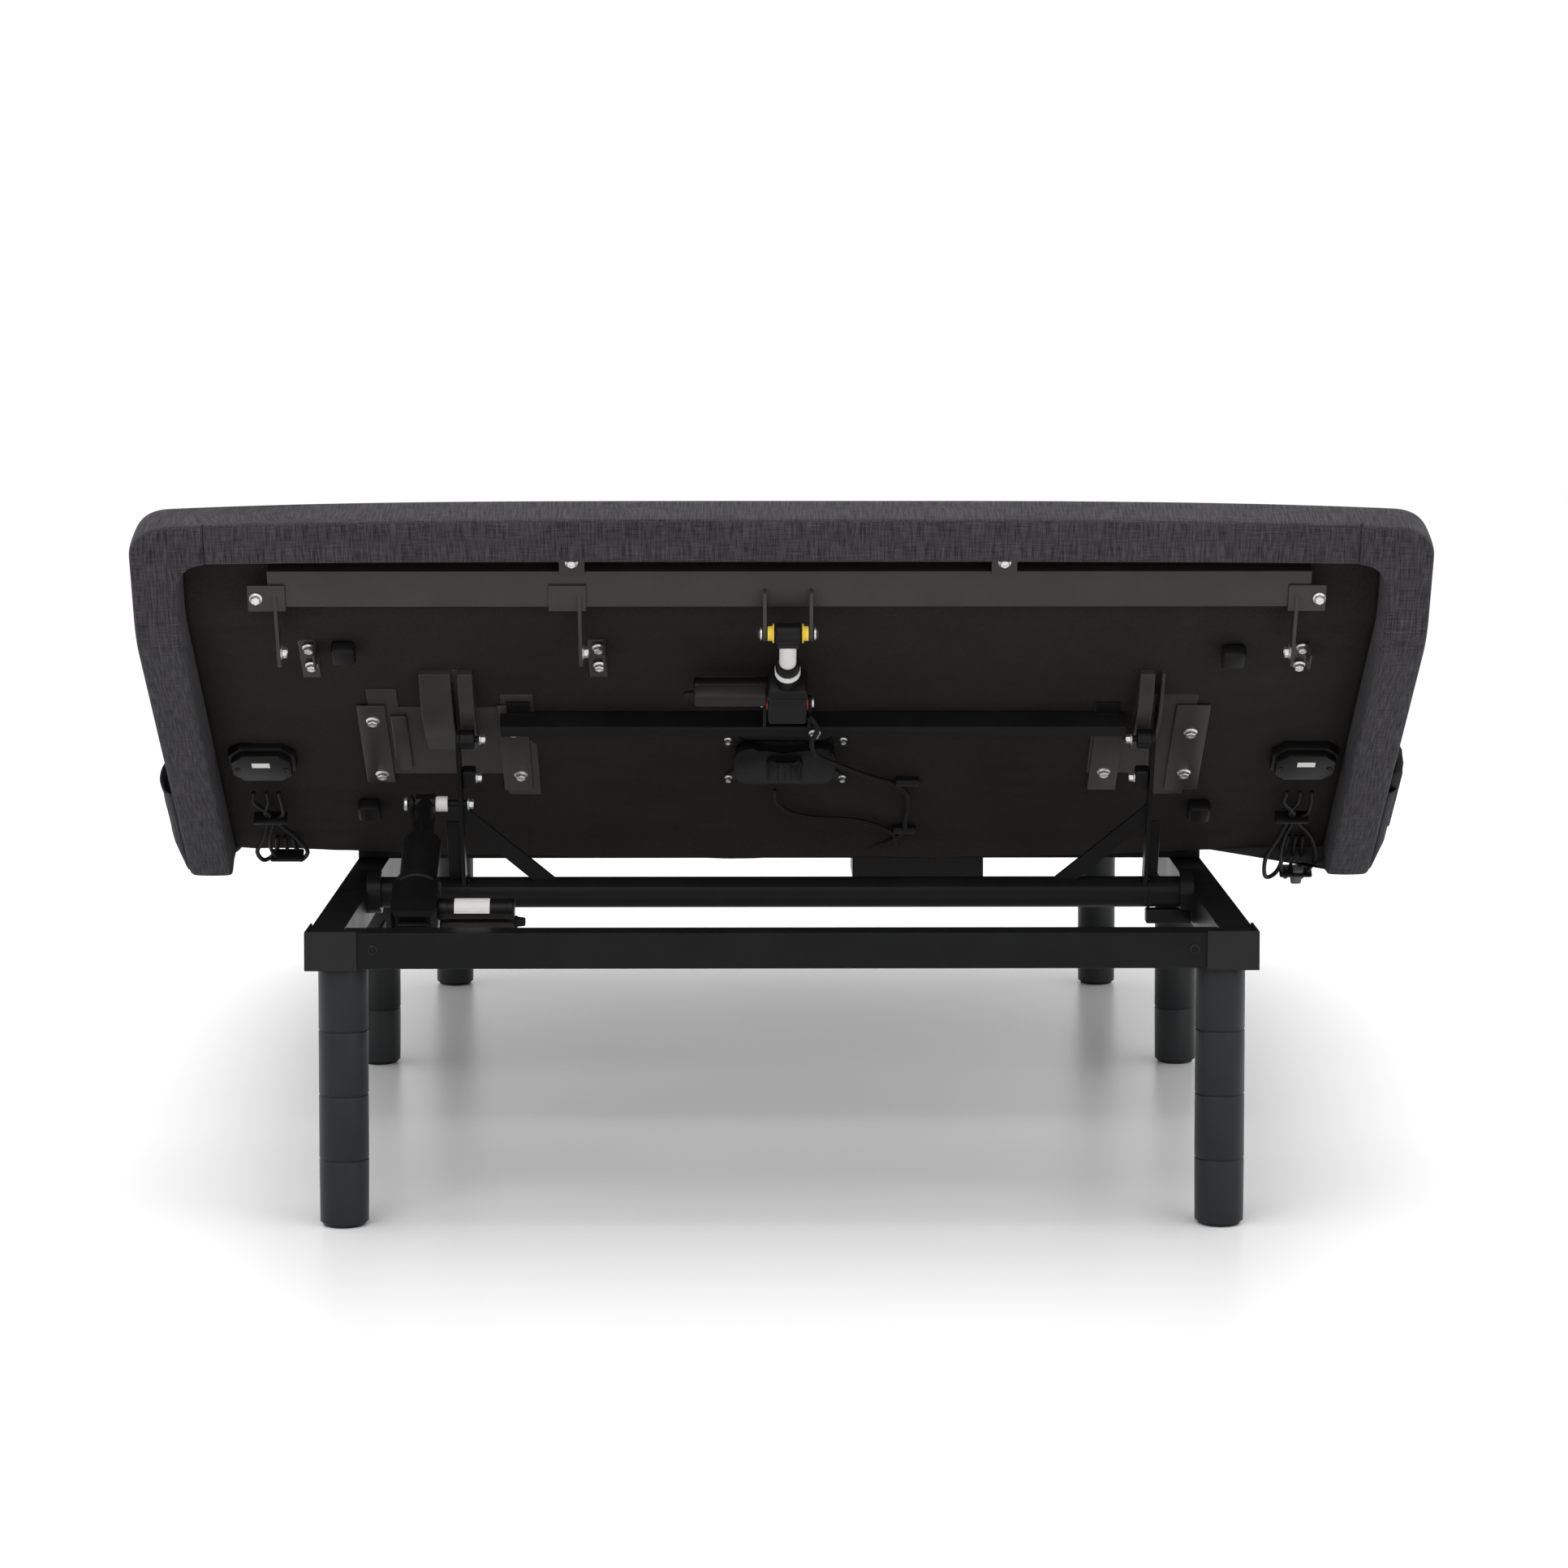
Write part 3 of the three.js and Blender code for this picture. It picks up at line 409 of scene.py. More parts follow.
# %% Plastics, zinc, rubber and wood
def moulded(dark, light, rough, grain=1500.0, shine=0.14):
    def recipe(p, facing):
        fine = p.noise(grain, 2.0)
        broad = p.noise(22.0, 3.0)
        scuff = p.stretched(60.0, 60.0, 900.0).noise(1.0, 3.0).over(0.68, 0.8)
        tone = broad * 0.7 + fine * 0.2 + scuff * 0.25
        return {"Base_Color": tone.clamp().mix(dark, light),
                "Roughness": rough + (broad - 0.5) * 0.12 + scuff * 0.08,
                "height": fine, "depth": 0.00006, "Specular_IOR_Level": shine}
    return recipe


def zinc(p, facing):
    spangle = p.cells(700.0, 1)
    broad = p.noise(160.0, 3.0)
    turning = p.noise(1800.0, 2.0)
    tone = broad * 0.7 + spangle.parts()[0] * 0.3
    return {"Base_Color": tone.clamp().mix(grey(0.42, 0.01), grey(0.78, -0.01)), "Metallic": 0.95,
            "Roughness": 0.26 + broad * 0.18, "height": turning + spangle.parts()[1] * 0.3,
            "depth": 0.00004}


def plywood(p, facing):
    grain = p.stretched(9.0, 160.0, 160.0).noise(1.0, 4.0)
    rings = (p.stretched(3.0, 22.0, 22.0).noise(1.0, 2.0) * 40.0).sin() * 0.5 + 0.5
    tone = grain * 0.6 + rings * 0.4
    return {"Base_Color": tone.clamp().mix((0.020, 0.013, 0.009, 1), (0.060, 0.042, 0.030, 1)),
            "Roughness": 0.6 + grain * 0.2,
            "height": grain, "depth": 0.0002}


def label(p, facing):
    fibre = p.noise(1200.0, 3.0)
    return {"Base_Color": fibre.mix(grey(0.5, 0.03), grey(0.72, 0.02)), "Roughness": 0.4 + fibre * 0.2,
            "height": fibre, "depth": 0.00002}


def pale_floor(p, facing):
    cloud = p.noise(1.4, 3.0)
    fine = p.noise(500.0, 2.0)
    return {"Base_Color": cloud.mix(grey(0.86), grey(0.90)), "Roughness": 0.26 + cloud * 0.12,
            "height": fine, "depth": 0.00002,
            "Specular_IOR_Level": 0.35}


LINEN = material("linen_weave", linen, uv=True)
SPUN = material("spun_cover", spun)
STEEL = material("black_powder_coat", coated(grey(0.0028, -0.04), grey(0.0085, -0.03), 0.38))
SATIN = material("satin_powder_coat", coated(grey(0.0150, 0.12), grey(0.0330, 0.13), 0.36, 0.24))
PLASTIC = material("black_plastic", moulded(grey(0.0025), grey(0.0070), 0.36))
LEG = material("leg_coat", moulded(grey(0.0048, -0.16), grey(0.0100, -0.14), 0.44, 900.0, 0.26))
OLIVE = material("olive_black_plastic", moulded(grey(0.010, 0.08), grey(0.024, 0.10), 0.40))
CAP = material("grey_cap", moulded(grey(0.0075, 0.0), grey(0.016, 0.0), 0.48))
RUBBER = material("rubber", moulded(grey(0.0022), grey(0.0060), 0.5, 600.0))
LEAD = material("grey_lead", moulded(grey(0.05), grey(0.11), 0.5))
NYLON = material("white_nylon", moulded(grey(0.5, 0.02), grey(0.72, 0.02), 0.38))
YELLOW = material("yellow_bush", moulded((0.55, 0.38, 0.03, 1), (0.75, 0.55, 0.06, 1), 0.4))
RED = material("red_bush", moulded((0.4, 0.03, 0.02, 1), (0.6, 0.05, 0.03, 1), 0.4))
ZINC = material("bright_zinc", zinc)
WOOD = material("plywood", plywood)
LABEL = material("blank_label", label)
FLOOR = material("pale_floor", pale_floor)


def wear(piece, *materials):
    piece.data.materials.clear()
    for m in materials:
        piece.data.materials.append(m)
    return piece


print("materials", len(bpy.data.materials))

# %% [markdown]
# Cables. Each has a real length and a place where it leaves the object. The tilt motor's
# lead drops from its gearbox in a small loop and runs under the panel to two clips. Three
# short leads hang in loops below each hub.

# %% Cables
def cable(name, points, diameter, body, slot="plastic"):
    piece, line, length = tube_through(name, points, diameter / 2, body, slot)
    wear(piece, RUBBER)
    print(name, "length", round(length, 3))
    return piece


tilt_lead = [(0.027, 0.372, -0.052), (0.036, 0.374, -0.060), (0.043, 0.362, -0.067), (0.042, 0.340, -0.062),
             (0.037, 0.318, -0.060), (0.044, 0.282, -0.056), (0.075, 0.238, -0.044), (0.112, 0.195, -0.033),
             (0.140, 0.170, -0.027), (0.158, 0.145, -0.027), (0.160, 0.110, -0.029), (0.158, 0.075, -0.027),
             (0.158, 0.055, -0.027), (0.140, 0.030, -0.028), (0.105, 0.012, -0.027), (0.070, 0.004, -0.025)]
cable("cable_tilt", [back(*p) for p in tilt_lead], 0.0062, "back")
shake_lead = [(-0.007, 0.168, -0.036), (-0.007, 0.152, -0.034), (-0.006, 0.130, -0.029),
              (0.010, 0.104, -0.028),
              (0.040, 0.088, -0.027), (0.090, 0.084, -0.028), (0.125, 0.068, -0.028),
              (0.145, 0.045, -0.027),
              (0.150, 0.020, -0.028), (0.165, 0.006, -0.025)]
cable("cable_massage", [back(*p) for p in shake_lead], 0.0056, "back")
for side, x0 in (("left", -0.640), ("right", 0.648)):
    for k, (dx, sway, diameter) in enumerate(((-0.016, 0.006, 0.0056), (0.0, -0.007, 0.0046),
                                              (0.015, 0.008, 0.0056))):
        drop = 0.0 if side == "left" else -0.045
        route = [(x0 + dx, 0.170, -0.040), (x0 + dx * 1.1, 0.150, -0.042),
                 (x0 + dx * 0.5 + sway, 0.120, -0.040),
                 (x0 + dx * 0.4, 0.095, -0.036), (x0 + dx * 1.3 + sway, 0.060, -0.040),
                 (x0 + dx * 2.0 + sway, 0.030 + drop * 0.4, -0.042),
                 (x0 + dx * 1.5 + 0.004, 0.002 + drop, -0.038),
                 (x0 + dx * 0.9 + 0.010, 0.014 + drop, -0.033), (x0 + dx * 0.6 + 0.010, 0.045, -0.029)]
        cable(f"lead_{side}_{k}", [back(*p) for p in route], diameter, "back", slot="plastic")

# %% [markdown]
# Upholstery. Each deck section is a foam-topped board with a deep rim round its free
# edges, wrapped in one skin. A section is lofted from closed rows across the bed: over
# the padded top, round the soft edge, down the rim, under it and back up inside. The
# back and the pillow section share one skin, which bends at the fold between them.

# %% Skins of the deck sections
def cross_row(half, top, bottom, ceiling, inner, s, puff=1.0):
    """One closed row of the skin at s. Heights are below the deck surface."""
    points = []
    soft, low = 0.013, 0.006
    steps = 30
    for i in range(steps):
        x = (half - soft) * (i / (steps - 1))
        crown = 0.0016 * (1 - (x / half) ** 2) * puff
        points.append((x, top + crown))
    for i in range(1, 6):
        a = math.radians(90 - 15 * i)
        points.append((half - soft + soft * math.cos(a), top - soft + soft * math.sin(a)))
    for i in range(5):
        t = (i + 1) / 6
        z = (top - soft) * (1 - t) + (bottom + low) * t
        points.append((half + 0.0012 * math.sin(math.pi * t) * puff, z))
    for i in range(5):
        a = math.radians(-22.5 * i)
        points.append((half - low + low * math.cos(a), bottom + low + low * math.sin(a)))
    for t in (0.2, 0.5, 0.8):
        points.append((half * (1 - t) + inner * t - 0.004 * (1 - 2 * t),
                       bottom - 0.0008 * math.sin(math.pi * t)))
    for i in range(4):
        a = math.radians(-90 - 30 * i)
        points.append((inner + 0.005 + 0.005 * math.cos(a), bottom + 0.005 + 0.005 * math.sin(a)))
    for t in (0.33, 0.66, 0.94, 1.0):
        points.append((inner, (bottom + 0.005) * (1 - t) + ceiling * t))
    points.append((inner - 0.002, ceiling))
    points.append((inner - 0.006, ceiling))
    for i in range(1, 12):
        points.append((inner * (1 - i / 12), ceiling))
    points.append((0.0, ceiling))
    row = [(x, z) for x, z in points]
    mirrored = [(-x, z) for x, z in reversed(row[1:-1])]
    out = []
    for x, z in row + mirrored:
        wobble = noise.noise(Vector((x * 5, s * 5, z * 9 + 3))) * 0.0012 * puff
        out.append((x, s, z + (wobble if z > top - 0.03 else 0.0)))
    return out


def skin(name, place, s0, s1, body, nodes, round_end=False, end_rim=0.0, radius=0.040, extra=()):
    """Rows from s0 to s1; at a rounded end the plan's corners and the end face are round."""
    ends = [0.0, 0.0012, 0.004, 0.0085, 0.014]
    near = [s0 + e for e in ends]
    if round_end:
        far = [s1 - radius * (1 - math.sin(math.radians(a))) for a in range(0, 91, 9)]
    else:
        far = [s1 - e for e in reversed(ends)]
    middle = [s0 + 0.03 + (s1 - s0 - 0.10) * k / 16 for k in range(17)]
    middle = [m for m in middle if near[-1] + 0.006 < m < far[0] - 0.006]
    stops = sorted(set(near + middle + list(extra) + far))
    rim_steps = (0.030, 0.022, 0.015, 0.009, 0.0045, 0.002, 0.0006, 0.0, -0.002)
    inner_stops = [s1 - end_rim - d for d in rim_steps] if end_rim else []
    stops = sorted(set([s for s in stops if all(abs(s - t) > 0.0015 for t in inner_stops)] + inner_stops))
    rows = []
    for s in stops:
        half, top, bottom = HALF, 0.0, -DEPTH
        lead = min(s - s0, 0.014)
        lift = 0.014 - math.sqrt(max(0.0, 0.014 ** 2 - (0.014 - lead) ** 2))
        if not round_end and s1 - s < 0.014:
            tail = s1 - s
            lift = max(lift, 0.014 - math.sqrt(max(0.0, 0.014 ** 2 - (0.014 - tail) ** 2)))
        half -= lift * 0.5
        if round_end and s > s1 - radius:
            reach = s - (s1 - radius)
            half = HALF - radius + math.sqrt(max(0.0, radius ** 2 - reach ** 2))
        if round_end and s > s1 - 0.014:
            tail = s1 - s
            lift = 0.014 - math.sqrt(max(0.0, 0.014 ** 2 - (0.014 - tail) ** 2))
        top -= min(lift, 0.0135)
        bottom += min(lift, 0.0135) * 0.45
        ceiling = -0.0165
        if end_rim and s >= s1 - end_rim:
            ceiling = bottom + 0.0004
        ceiling = max(min(ceiling, top - 0.004), bottom + 0.0003)
        inner = HALF - RIM
        bend = s - (s1 - end_rim - 0.034)
        if end_rim and bend > 0:
            inner -= 0.034 - math.sqrt(max(0.0, 0.034 ** 2 - min(bend, 0.034) ** 2))
        rows.append(cross_row(half, top, bottom, ceiling, inner, s, puff=1.0 if s1 - s > 0.03 else 0.3))
    mesh = loft(name, rows, closed=True, uv_by_facing=True)
    for vertex in mesh.vertices:
        x, s, z = vertex.co
        near_end = max(0.0, 1 - (s1 - s) / 0.11) if round_end else 0.0
        bow = 0.0125 * (abs(x) / HALF) ** 3.5 * near_end ** 1.5
        vertex.co = place(x, s - bow, z)
    piece = link(name, mesh, body, "linen", *nodes)
    wear(piece, LINEN)
    smooth = piece.modifiers.new("smooth", "SUBSURF")
    smooth.levels = smooth.render_levels = 1
    print(name, len(mesh.vertices))
    return piece


fold = [BACK + d for d in (-0.02, -0.013, -0.008, -0.004, -0.0005, 0.003, 0.007, 0.012, 0.02)]
cover = skin("back_cover", deck_point, 0.0, BACK + 0.001 + 0.001 + PILLOW, None,
             ("back_upholstery", "pillow_upholstery"),
             round_end=True, end_rim=RIM, extra=fold)
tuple(back(0, BACK - 0.012, 0))
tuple(pillow(0, 0.012, 0))
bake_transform(cover)
for name, node, round_end in (("seat_cover", "seat_upholstery", False),
                              ("thigh_cover", "thigh_upholstery", False),
                              ("calf_cover", "calf_upholstery", True)):
    lo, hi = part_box(node)
    body = {"seat": "frame", "thigh": "thigh", "calf": "calf"}[node.split("_")[0]]
    flat = lambda x, s, z=0.0: Vector((-x, s, DECK_TOP + z))
    skin(name, flat, lo[1], hi[1], body, (node,), round_end=round_end, end_rim=RIM if round_end else 0.0)

# %% [markdown]
# The spun dust cover is stapled inside the rims. It is thin and a little too big, so it
# wrinkles, folds at its corners and sags at its lower edge.

# %% Dust cover
def cover_height(x, s):
    """How far the cloth hangs under the panel at a point."""
    ripple = noise.fractal(Vector((x * 7, s * 16, 0.3)), 0.9, 2.1, 4) * 0.0022
    crease = max(0.0, noise.noise(Vector((x * 3.2 + s * 9, s * 2.1 - x * 5, 4.1)))) ** 2 * 0.024
    at_corner = math.exp(-((abs(x) - 0.66) ** 2 / 0.004 + (s - 0.49) ** 2 / 0.002))
    corner = at_corner * 0.004 * math.sin(110 * (x + s))
    sag = 0.0
    if s < 0.05:
        slack = 0.30 + 0.12 * noise.noise(Vector((x * 6, 1.0, 2.0)))
        sag = max(0.0, 1 - (x / 0.62) ** 2) * max(0.0, 0.05 - s) * slack
    return -0.0198 - abs(ripple) - crease * 0.5 - abs(corner) - sag


inner = HALF - RIM + 0.003
rows = []
hem_stops = [-0.0014 + 0.004 * (k / 4) for k in range(4)]
stops = hem_stops + [0.004 + (BACK + PILLOW - RIM - 0.006) * k / 89 for k in range(90)]
for k, s in enumerate(stops):
    row = []
    for j in range(150):
        x = -inner + 2 * inner * j / 149
        edge = min(1.0, (inner - abs(x)) / 0.03)
        z = -0.0183 + (cover_height(x, s) + 0.0183) * edge
        if s > BACK - 0.02:
            z = -0.0190
        if k < 4:
            z = z * (0.35, 0.75, 0.95, 1.0)[k]
        row.append(deck_point(x, s, z))
    rows.append(row)
dust = link("dust_cover", loft("dust_cover", rows), None, "dust_cover", "back_dust_cover")
wear(dust, SPUN)
thick = dust.modifiers.new("thickness", "SOLIDIFY")
thick.thickness = 0.0004
thick.offset = 0
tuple(back(0, BACK - 0.012, -0.018))
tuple(pillow(0, 0.012, -0.018))
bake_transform(dust)

# %% [markdown]
# Steel tubes and welded assemblies keep their CAD form, but real sheet and tube have
# rounded edges that catch the light. Each one is copied, its flat faces are merged, and
# its edges are rounded by about a millimetre.

# %% Rounded steel
def reskin(name, node, body, slot, material, width=0.0011, segments=2, limit=32):
    source = bpy.data.objects[node]
    bm = bmesh.new()
    bm.from_mesh(source.data)
    bmesh.ops.remove_doubles(bm, verts=bm.verts, dist=1e-6)
    bmesh.ops.dissolve_limit(bm, angle_limit=math.radians(1.0), verts=bm.verts, edges=bm.edges)
    piece = finished(name, bm, body, slot, node, angle=limit)
    wear(piece, material)
    edge = piece.modifiers.new("edge", "BEVEL")
    edge.width = width
    edge.segments = segments
    edge.limit_method = "ANGLE"
    edge.angle_limit = math.radians(limit)
    edge.use_clamp_overlap = True
    edge.harden_normals = True
    return piece


body_of = {n: body for body, nodes in frame["record"]["behaviour"]["bodies"].items() for n in nodes}
steel = {"head_rail": STEEL, "foot_rail": STEEL, "side_rail_left": STEEL, "side_rail_right": STEEL,
         "back_motor_mount": STEEL,
         "foot_motor_mount": STEEL, "back_torque_tube": STEEL, "foot_torque_tube": STEEL,
         "tilt_motor_crossbar": STEEL,
         "leg_bracket_left": STEEL, "leg_bracket_right": STEEL, "seat_cross_tube_head": STEEL,
         "seat_cross_tube_foot": STEEL,
         "tilt_crossbar": SATIN, "lift_bracket_left": SATIN, "lift_bracket_right": SATIN,
         "tilt_hinge_left": SATIN,
         "tilt_hinge_centre": SATIN, "tilt_hinge_right": SATIN, "thigh_lift_pad_left": SATIN,
         "thigh_lift_pad_right": SATIN,
         "corner_cap_head_left": CAP, "corner_cap_head_right": CAP, "corner_cap_foot_left": CAP,
         "corner_cap_foot_right": CAP,
         "lift_roller_left": PLASTIC, "lift_roller_right": PLASTIC, "back_sleeve": PLASTIC,
         "foot_motor": PLASTIC, "control_box": PLASTIC}
slots = {s["node"]: s["material_slot"] for s in frame["record"]["subparts"]}
for node, surface in steel.items():
    reskin("skin_" + node, node, body_of[node], slots[node], surface)
for node, surface in (("seat_panel", WOOD), ("back_panel", WOOD), ("pillow_panel", WOOD),
                      ("thigh_panel", WOOD), ("calf_panel", WOOD),
                      ("foot_rod", ZINC)):
    wear(bpy.data.objects[node], surface)
print("steel pieces", len(steel))

# %% [markdown]
# The legs are stacks of moulded segments that screw into each other, so a fine groove
# shows at each joint, and a dark glide sits under the last one.

# %% Legs
SEGMENT = 0.076
for node in [n for n in frame["nodes"] if n.startswith("leg_") and "bracket" not in n]:
    lo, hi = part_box(node)
    centre = Vector(((lo[0] + hi[0]) / 2, (lo[1] + hi[1]) / 2, 0))
    radius = (hi[0] - lo[0]) / 2
    profile = [(0.0, radius - 0.006), (0.001, radius - 0.0045), (0.004, radius - 0.0035),
               (0.0042, radius - 0.0022), (0.0052, radius - 0.0006)]
    joints = [0.003 + SEGMENT * k for k in range(1, 4)]
    for at in joints:
        profile += [(at - 0.0018, radius), (at - 0.0009, radius - 0.0004), (at - 0.0004, radius - 0.0012),
                    (at + 0.0004, radius - 0.0012), (at + 0.0009, radius - 0.0004), (at + 0.0018, radius)]
    profile += [(hi[2] - 0.002, radius), (hi[2] - 0.0005, radius - 0.0006), (hi[2], radius - 0.002)]
    profile = sorted(profile)
    bm = bmesh.new()
    turned(bm, centre, (0, 0, 1), profile, 56)
    wear(finished("turned_" + node, bm, "frame", "leg", node, angle=50), LEG)
bm = bmesh.new()
brick(bm, (0.482, joint["lift_arm_turn"]["pos_m"][1], 0.3160), ((1, 0, 0), (0, 1, 0), (0, 0, 1)),
      (0.056, 0.022, 0.0175), 0.002)
wear(finished("bearing_stub", bm, "frame", "black_steel"), STEEL)
print("legs done")

# %% [markdown]
# Flange bolts hold the brackets to the boards. Each has a thin round flange, a hexagon
# head and a shallow dished top; all of one body's bolts are one mesh.

# %% Bolts
def bolt(bm, at, direction, size=0.0065):
    turned(bm, at, direction, [(0, size * 1.3), (0.0010, size * 1.3), (0.0020, size * 1.02),
                               (0.0022, size)], 20)
    turned(bm, Vector(at) + Vector(direction).normalized() * 0.0018, direction,
           [(0, size), (0.0040, size), (0.0050, size * 0.86), (0.0050, size * 0.5),
            (0.0044, size * 0.45)], 6)


down = (back(0, 0, -1) - back(0, 0, 0)).normalized()
along_back = (back(0, 1, 0) - back(0, 0, 0)).normalized()
plate = -0.0247
bm = bmesh.new()
for x, s in ((-0.497, 0.313), (-0.495, 0.190), (-0.327, 0.290), (-0.323, 0.188), (0.402, 0.194),
             (0.402, 0.300), (0.502, 0.286), (0.502, 0.192)):
    bolt(bm, back(x, s, plate), down)
for x in (-0.562, -0.219, 0.616):
    for s in (0.436, 0.474):
        bolt(bm, back(x + 0.002, s, plate), down, 0.0060)
bolt(bm, back(0.041, 0.318, -0.0455), down, 0.0058)
for x in (-0.065, 0.077):
    for s in (0.178, 0.266):
        bolt(bm, back(x, s, -0.0225), down, 0.0036)
wear(finished("back_bolts", bm, "back", "zinc"), ZINC)
down_pillow = (pillow(0, 0, -1) - pillow(0, 0, 0)).normalized()
bm = bmesh.new()
for x, s, z in ((-0.612, 0.030, -0.0433), (0.626, 0.030, -0.0433), (-0.244, 0.078, -0.0433),
                (0.258, 0.078, -0.0433)):
    bolt(bm, pillow(x, s, z), down_pillow, 0.0058)
for x, away in ((-0.590, 1), (-0.236, 1), (0.600, -1)):
    hub_at = pillow(x + away * 0.002, -0.048, -0.030)
    bolt(bm, hub_at, (away, 0, 0), 0.0068)
wear(finished("pillow_bolts", bm, "pillow", "zinc"), ZINC)
head_lo, head_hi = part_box("head_rail")
rail_mid = (head_lo[2] + head_hi[2]) / 2
bm = bmesh.new()
for x in (-0.4750, 0.4790):
    turned(bm, (x, head_lo[1] + 0.0002, rail_mid + 0.001), (0, -1, 0),
           [(0, 0.0066), (0.0016, 0.0066), (0.0026, 0.0052), (0.0030, 0.0030), (0.0018, 0.0022),
            (0.0016, 0.0018)], 24)
wear(finished("rail_screws", bm, "frame", "plastic"), PLASTIC)

# %% [markdown]
# L-flanges that carry the tilt brackets are bolted under the pillow board, on the
# pillow's crossbar, and two small tabs hold the crossbar itself to the head rim.

# %% Small brackets and bumpers
bm = bmesh.new()
side_axis = Vector((1, 0, 0))
along_pillow = (pillow(0, 1, 0) - pillow(0, 0, 0)).normalized()
for x in (-0.600, -0.250, 0.612):
    brick(bm, pillow(x, 0.030, -0.0418), (side_axis, along_pillow, down_pillow),
          (0.044, 0.034, 0.0026), 0.0010)
for x in (-0.244, 0.258):
    brick(bm, pillow(x, 0.0740, -0.0418), (side_axis, along_pillow, down_pillow),
          (0.030, 0.0260, 0.0026), 0.0010)
wear(finished("pillow_flanges", bm, "pillow", "satin_steel"), SATIN)
bm = bmesh.new()
for x, s in ((-0.519, 0.470), (0.537, 0.462), (-0.517, 0.112), (0.528, 0.108)):
    brick(bm, back(x, s, -0.030), (side_axis, along_back, down), (0.028, 0.030, 0.018), 0.004, 3)
wear(finished("bumpers", bm, "back", "plastic"), RUBBER)
tube_at = Vector(joint["lift_arm_turn"]["pos_m"])
motor_pin = Vector(joint["back_rod_turn"]["pos_m"])
arm_way = Vector((0, motor_pin.y - tube_at.y, motor_pin.z - tube_at.z)).normalized()
arm_side = Vector((1, 0, 0)).cross(arm_way)
ARM = 0.228
bm = bmesh.new()
bolts = bmesh.new()
for x, way in ((-0.392, 1), (0.452, -1)):
    brick(bm, tube_at + Vector((x + way * 0.0115, 0, 0)) + arm_way * 0.172, (side_axis, arm_way, arm_side),
          (0.017, 0.026, 0.017), 0.003, 3)
    for distance, out in ((0.172, 0.0200), (ARM, 0.0262)):
        bolt(bolts, tube_at + Vector((x + way * out, 0, 0)) + arm_way * distance, (way, 0, 0), 0.0054)
wear(finished("arm_blocks", bm, "back_torque", "plastic"), RUBBER)
wear(finished("arm_bolts", bolts, "back_torque", "zinc"), ZINC)
bm = bmesh.new()
for x0, x1, s0, s1 in ((-0.515, -0.480, 0.170, 0.345), (-0.345, -0.309, 0.150, 0.345),
                       (0.384, 0.420, 0.150, 0.318), (0.480, 0.522, 0.150, 0.345)):
    brick(bm, back((x0 + x1) / 2, (s0 + s1) / 2, -0.0236), (side_axis, along_back, down),
          (x1 - x0, s1 - s0, 0.0026), 0.0011, 3)
brick(bm, back(-0.4655, 0.262, -0.0240), (side_axis, along_back, down), (0.020, 0.120, 0.004), 0.0019, 3)
wear(finished("bracket_plates", bm, "back", "satin_steel"), SATIN)
bm = bmesh.new()
for s in (0.171, 0.055):
    brick(bm, back(0.158, s, -0.0245), (side_axis, along_back, down), (0.030, 0.012, 0.011), 0.003, 3)
wear(finished("cable_clips", bm, "back", "plastic"), PLASTIC)

# %% [markdown]
# The massage motor is a waisted black housing on a plate with four ears. A thicker
# block at its middle covers the off-centre weight.

# %% Massage motor
bm = bmesh.new()
middle = Vector((0.005, 0.222, 0.0))
outline = [(-0.074, 0.052), (-0.058, 0.052), (-0.050, 0.040), (0.050, 0.040), (0.058, 0.052),
           (0.074, 0.052), (0.074, 0.040), (0.062, 0.028),
           (0.062, -0.028), (0.074, -0.040), (0.074, -0.052), (0.058, -0.052), (0.050, -0.040),
           (-0.050, -0.040), (-0.058, -0.052), (-0.074, -0.052),
           (-0.074, -0.040), (-0.062, -0.028), (-0.062, 0.028), (-0.074, 0.040)]
def prism(bm, points, z0, z1, place, bevel=0.0):
    top = [bm.verts.new(place(x, s, z1)) for x, s in points]
    low = [bm.verts.new(place(x, s, z0)) for x, s in points]
    faces = [bm.faces.new(top), bm.faces.new(list(reversed(low)))]
    for k in range(len(points)):
        m = (k + 1) % len(points)
        faces.append(bm.faces.new((top[k], low[k], low[m], top[m])))
    if bevel:
        edges = list({e for f in faces[:2] for e in f.edges})
        bmesh.ops.bevel(bm, geom=edges, offset=bevel, segments=2, affect="EDGES", profile=0.5)


on_motor = lambda x, s, z: back(middle.x + x, middle.y + s, z)
prism(bm, outline, -0.0190, -0.0225, on_motor, 0.0008)
waist = []
for k in range(48):
    a = 2 * math.pi * k / 48
    r = 1.0 - 0.16 * math.cos(2 * a) ** 2 * (abs(math.sin(a)) > 0.7)
    waist.append((0.062 * math.copysign(abs(math.cos(a)) ** 0.45, math.cos(a)),
                  0.044 * math.copysign(abs(math.sin(a)) ** 0.45,
                                        math.sin(a)) * (1 - 0.22 * math.exp(-(math.cos(a) / 0.3) ** 2))))
prism(bm, waist, -0.0215, -0.0365, on_motor, 0.0035)
prism(bm, [(x * 0.36, y * 0.62) for x, y in waist], -0.034, -0.0445, on_motor, 0.003)
for k in range(-2, 3):
    brick(bm, on_motor(k * 0.0085, 0.0, -0.0450), (side_axis, along_back, down),
          (0.0022, 0.030, 0.0012), 0.0004, 1)
wear(finished("massage_housing", bm, "back", "plastic", "massage_motor"), PLASTIC)

# %% [markdown]
# USB hubs: flat octagonal housings with a raised lid, two screws, four ports in a row on
# the lower edge and a small blank label.

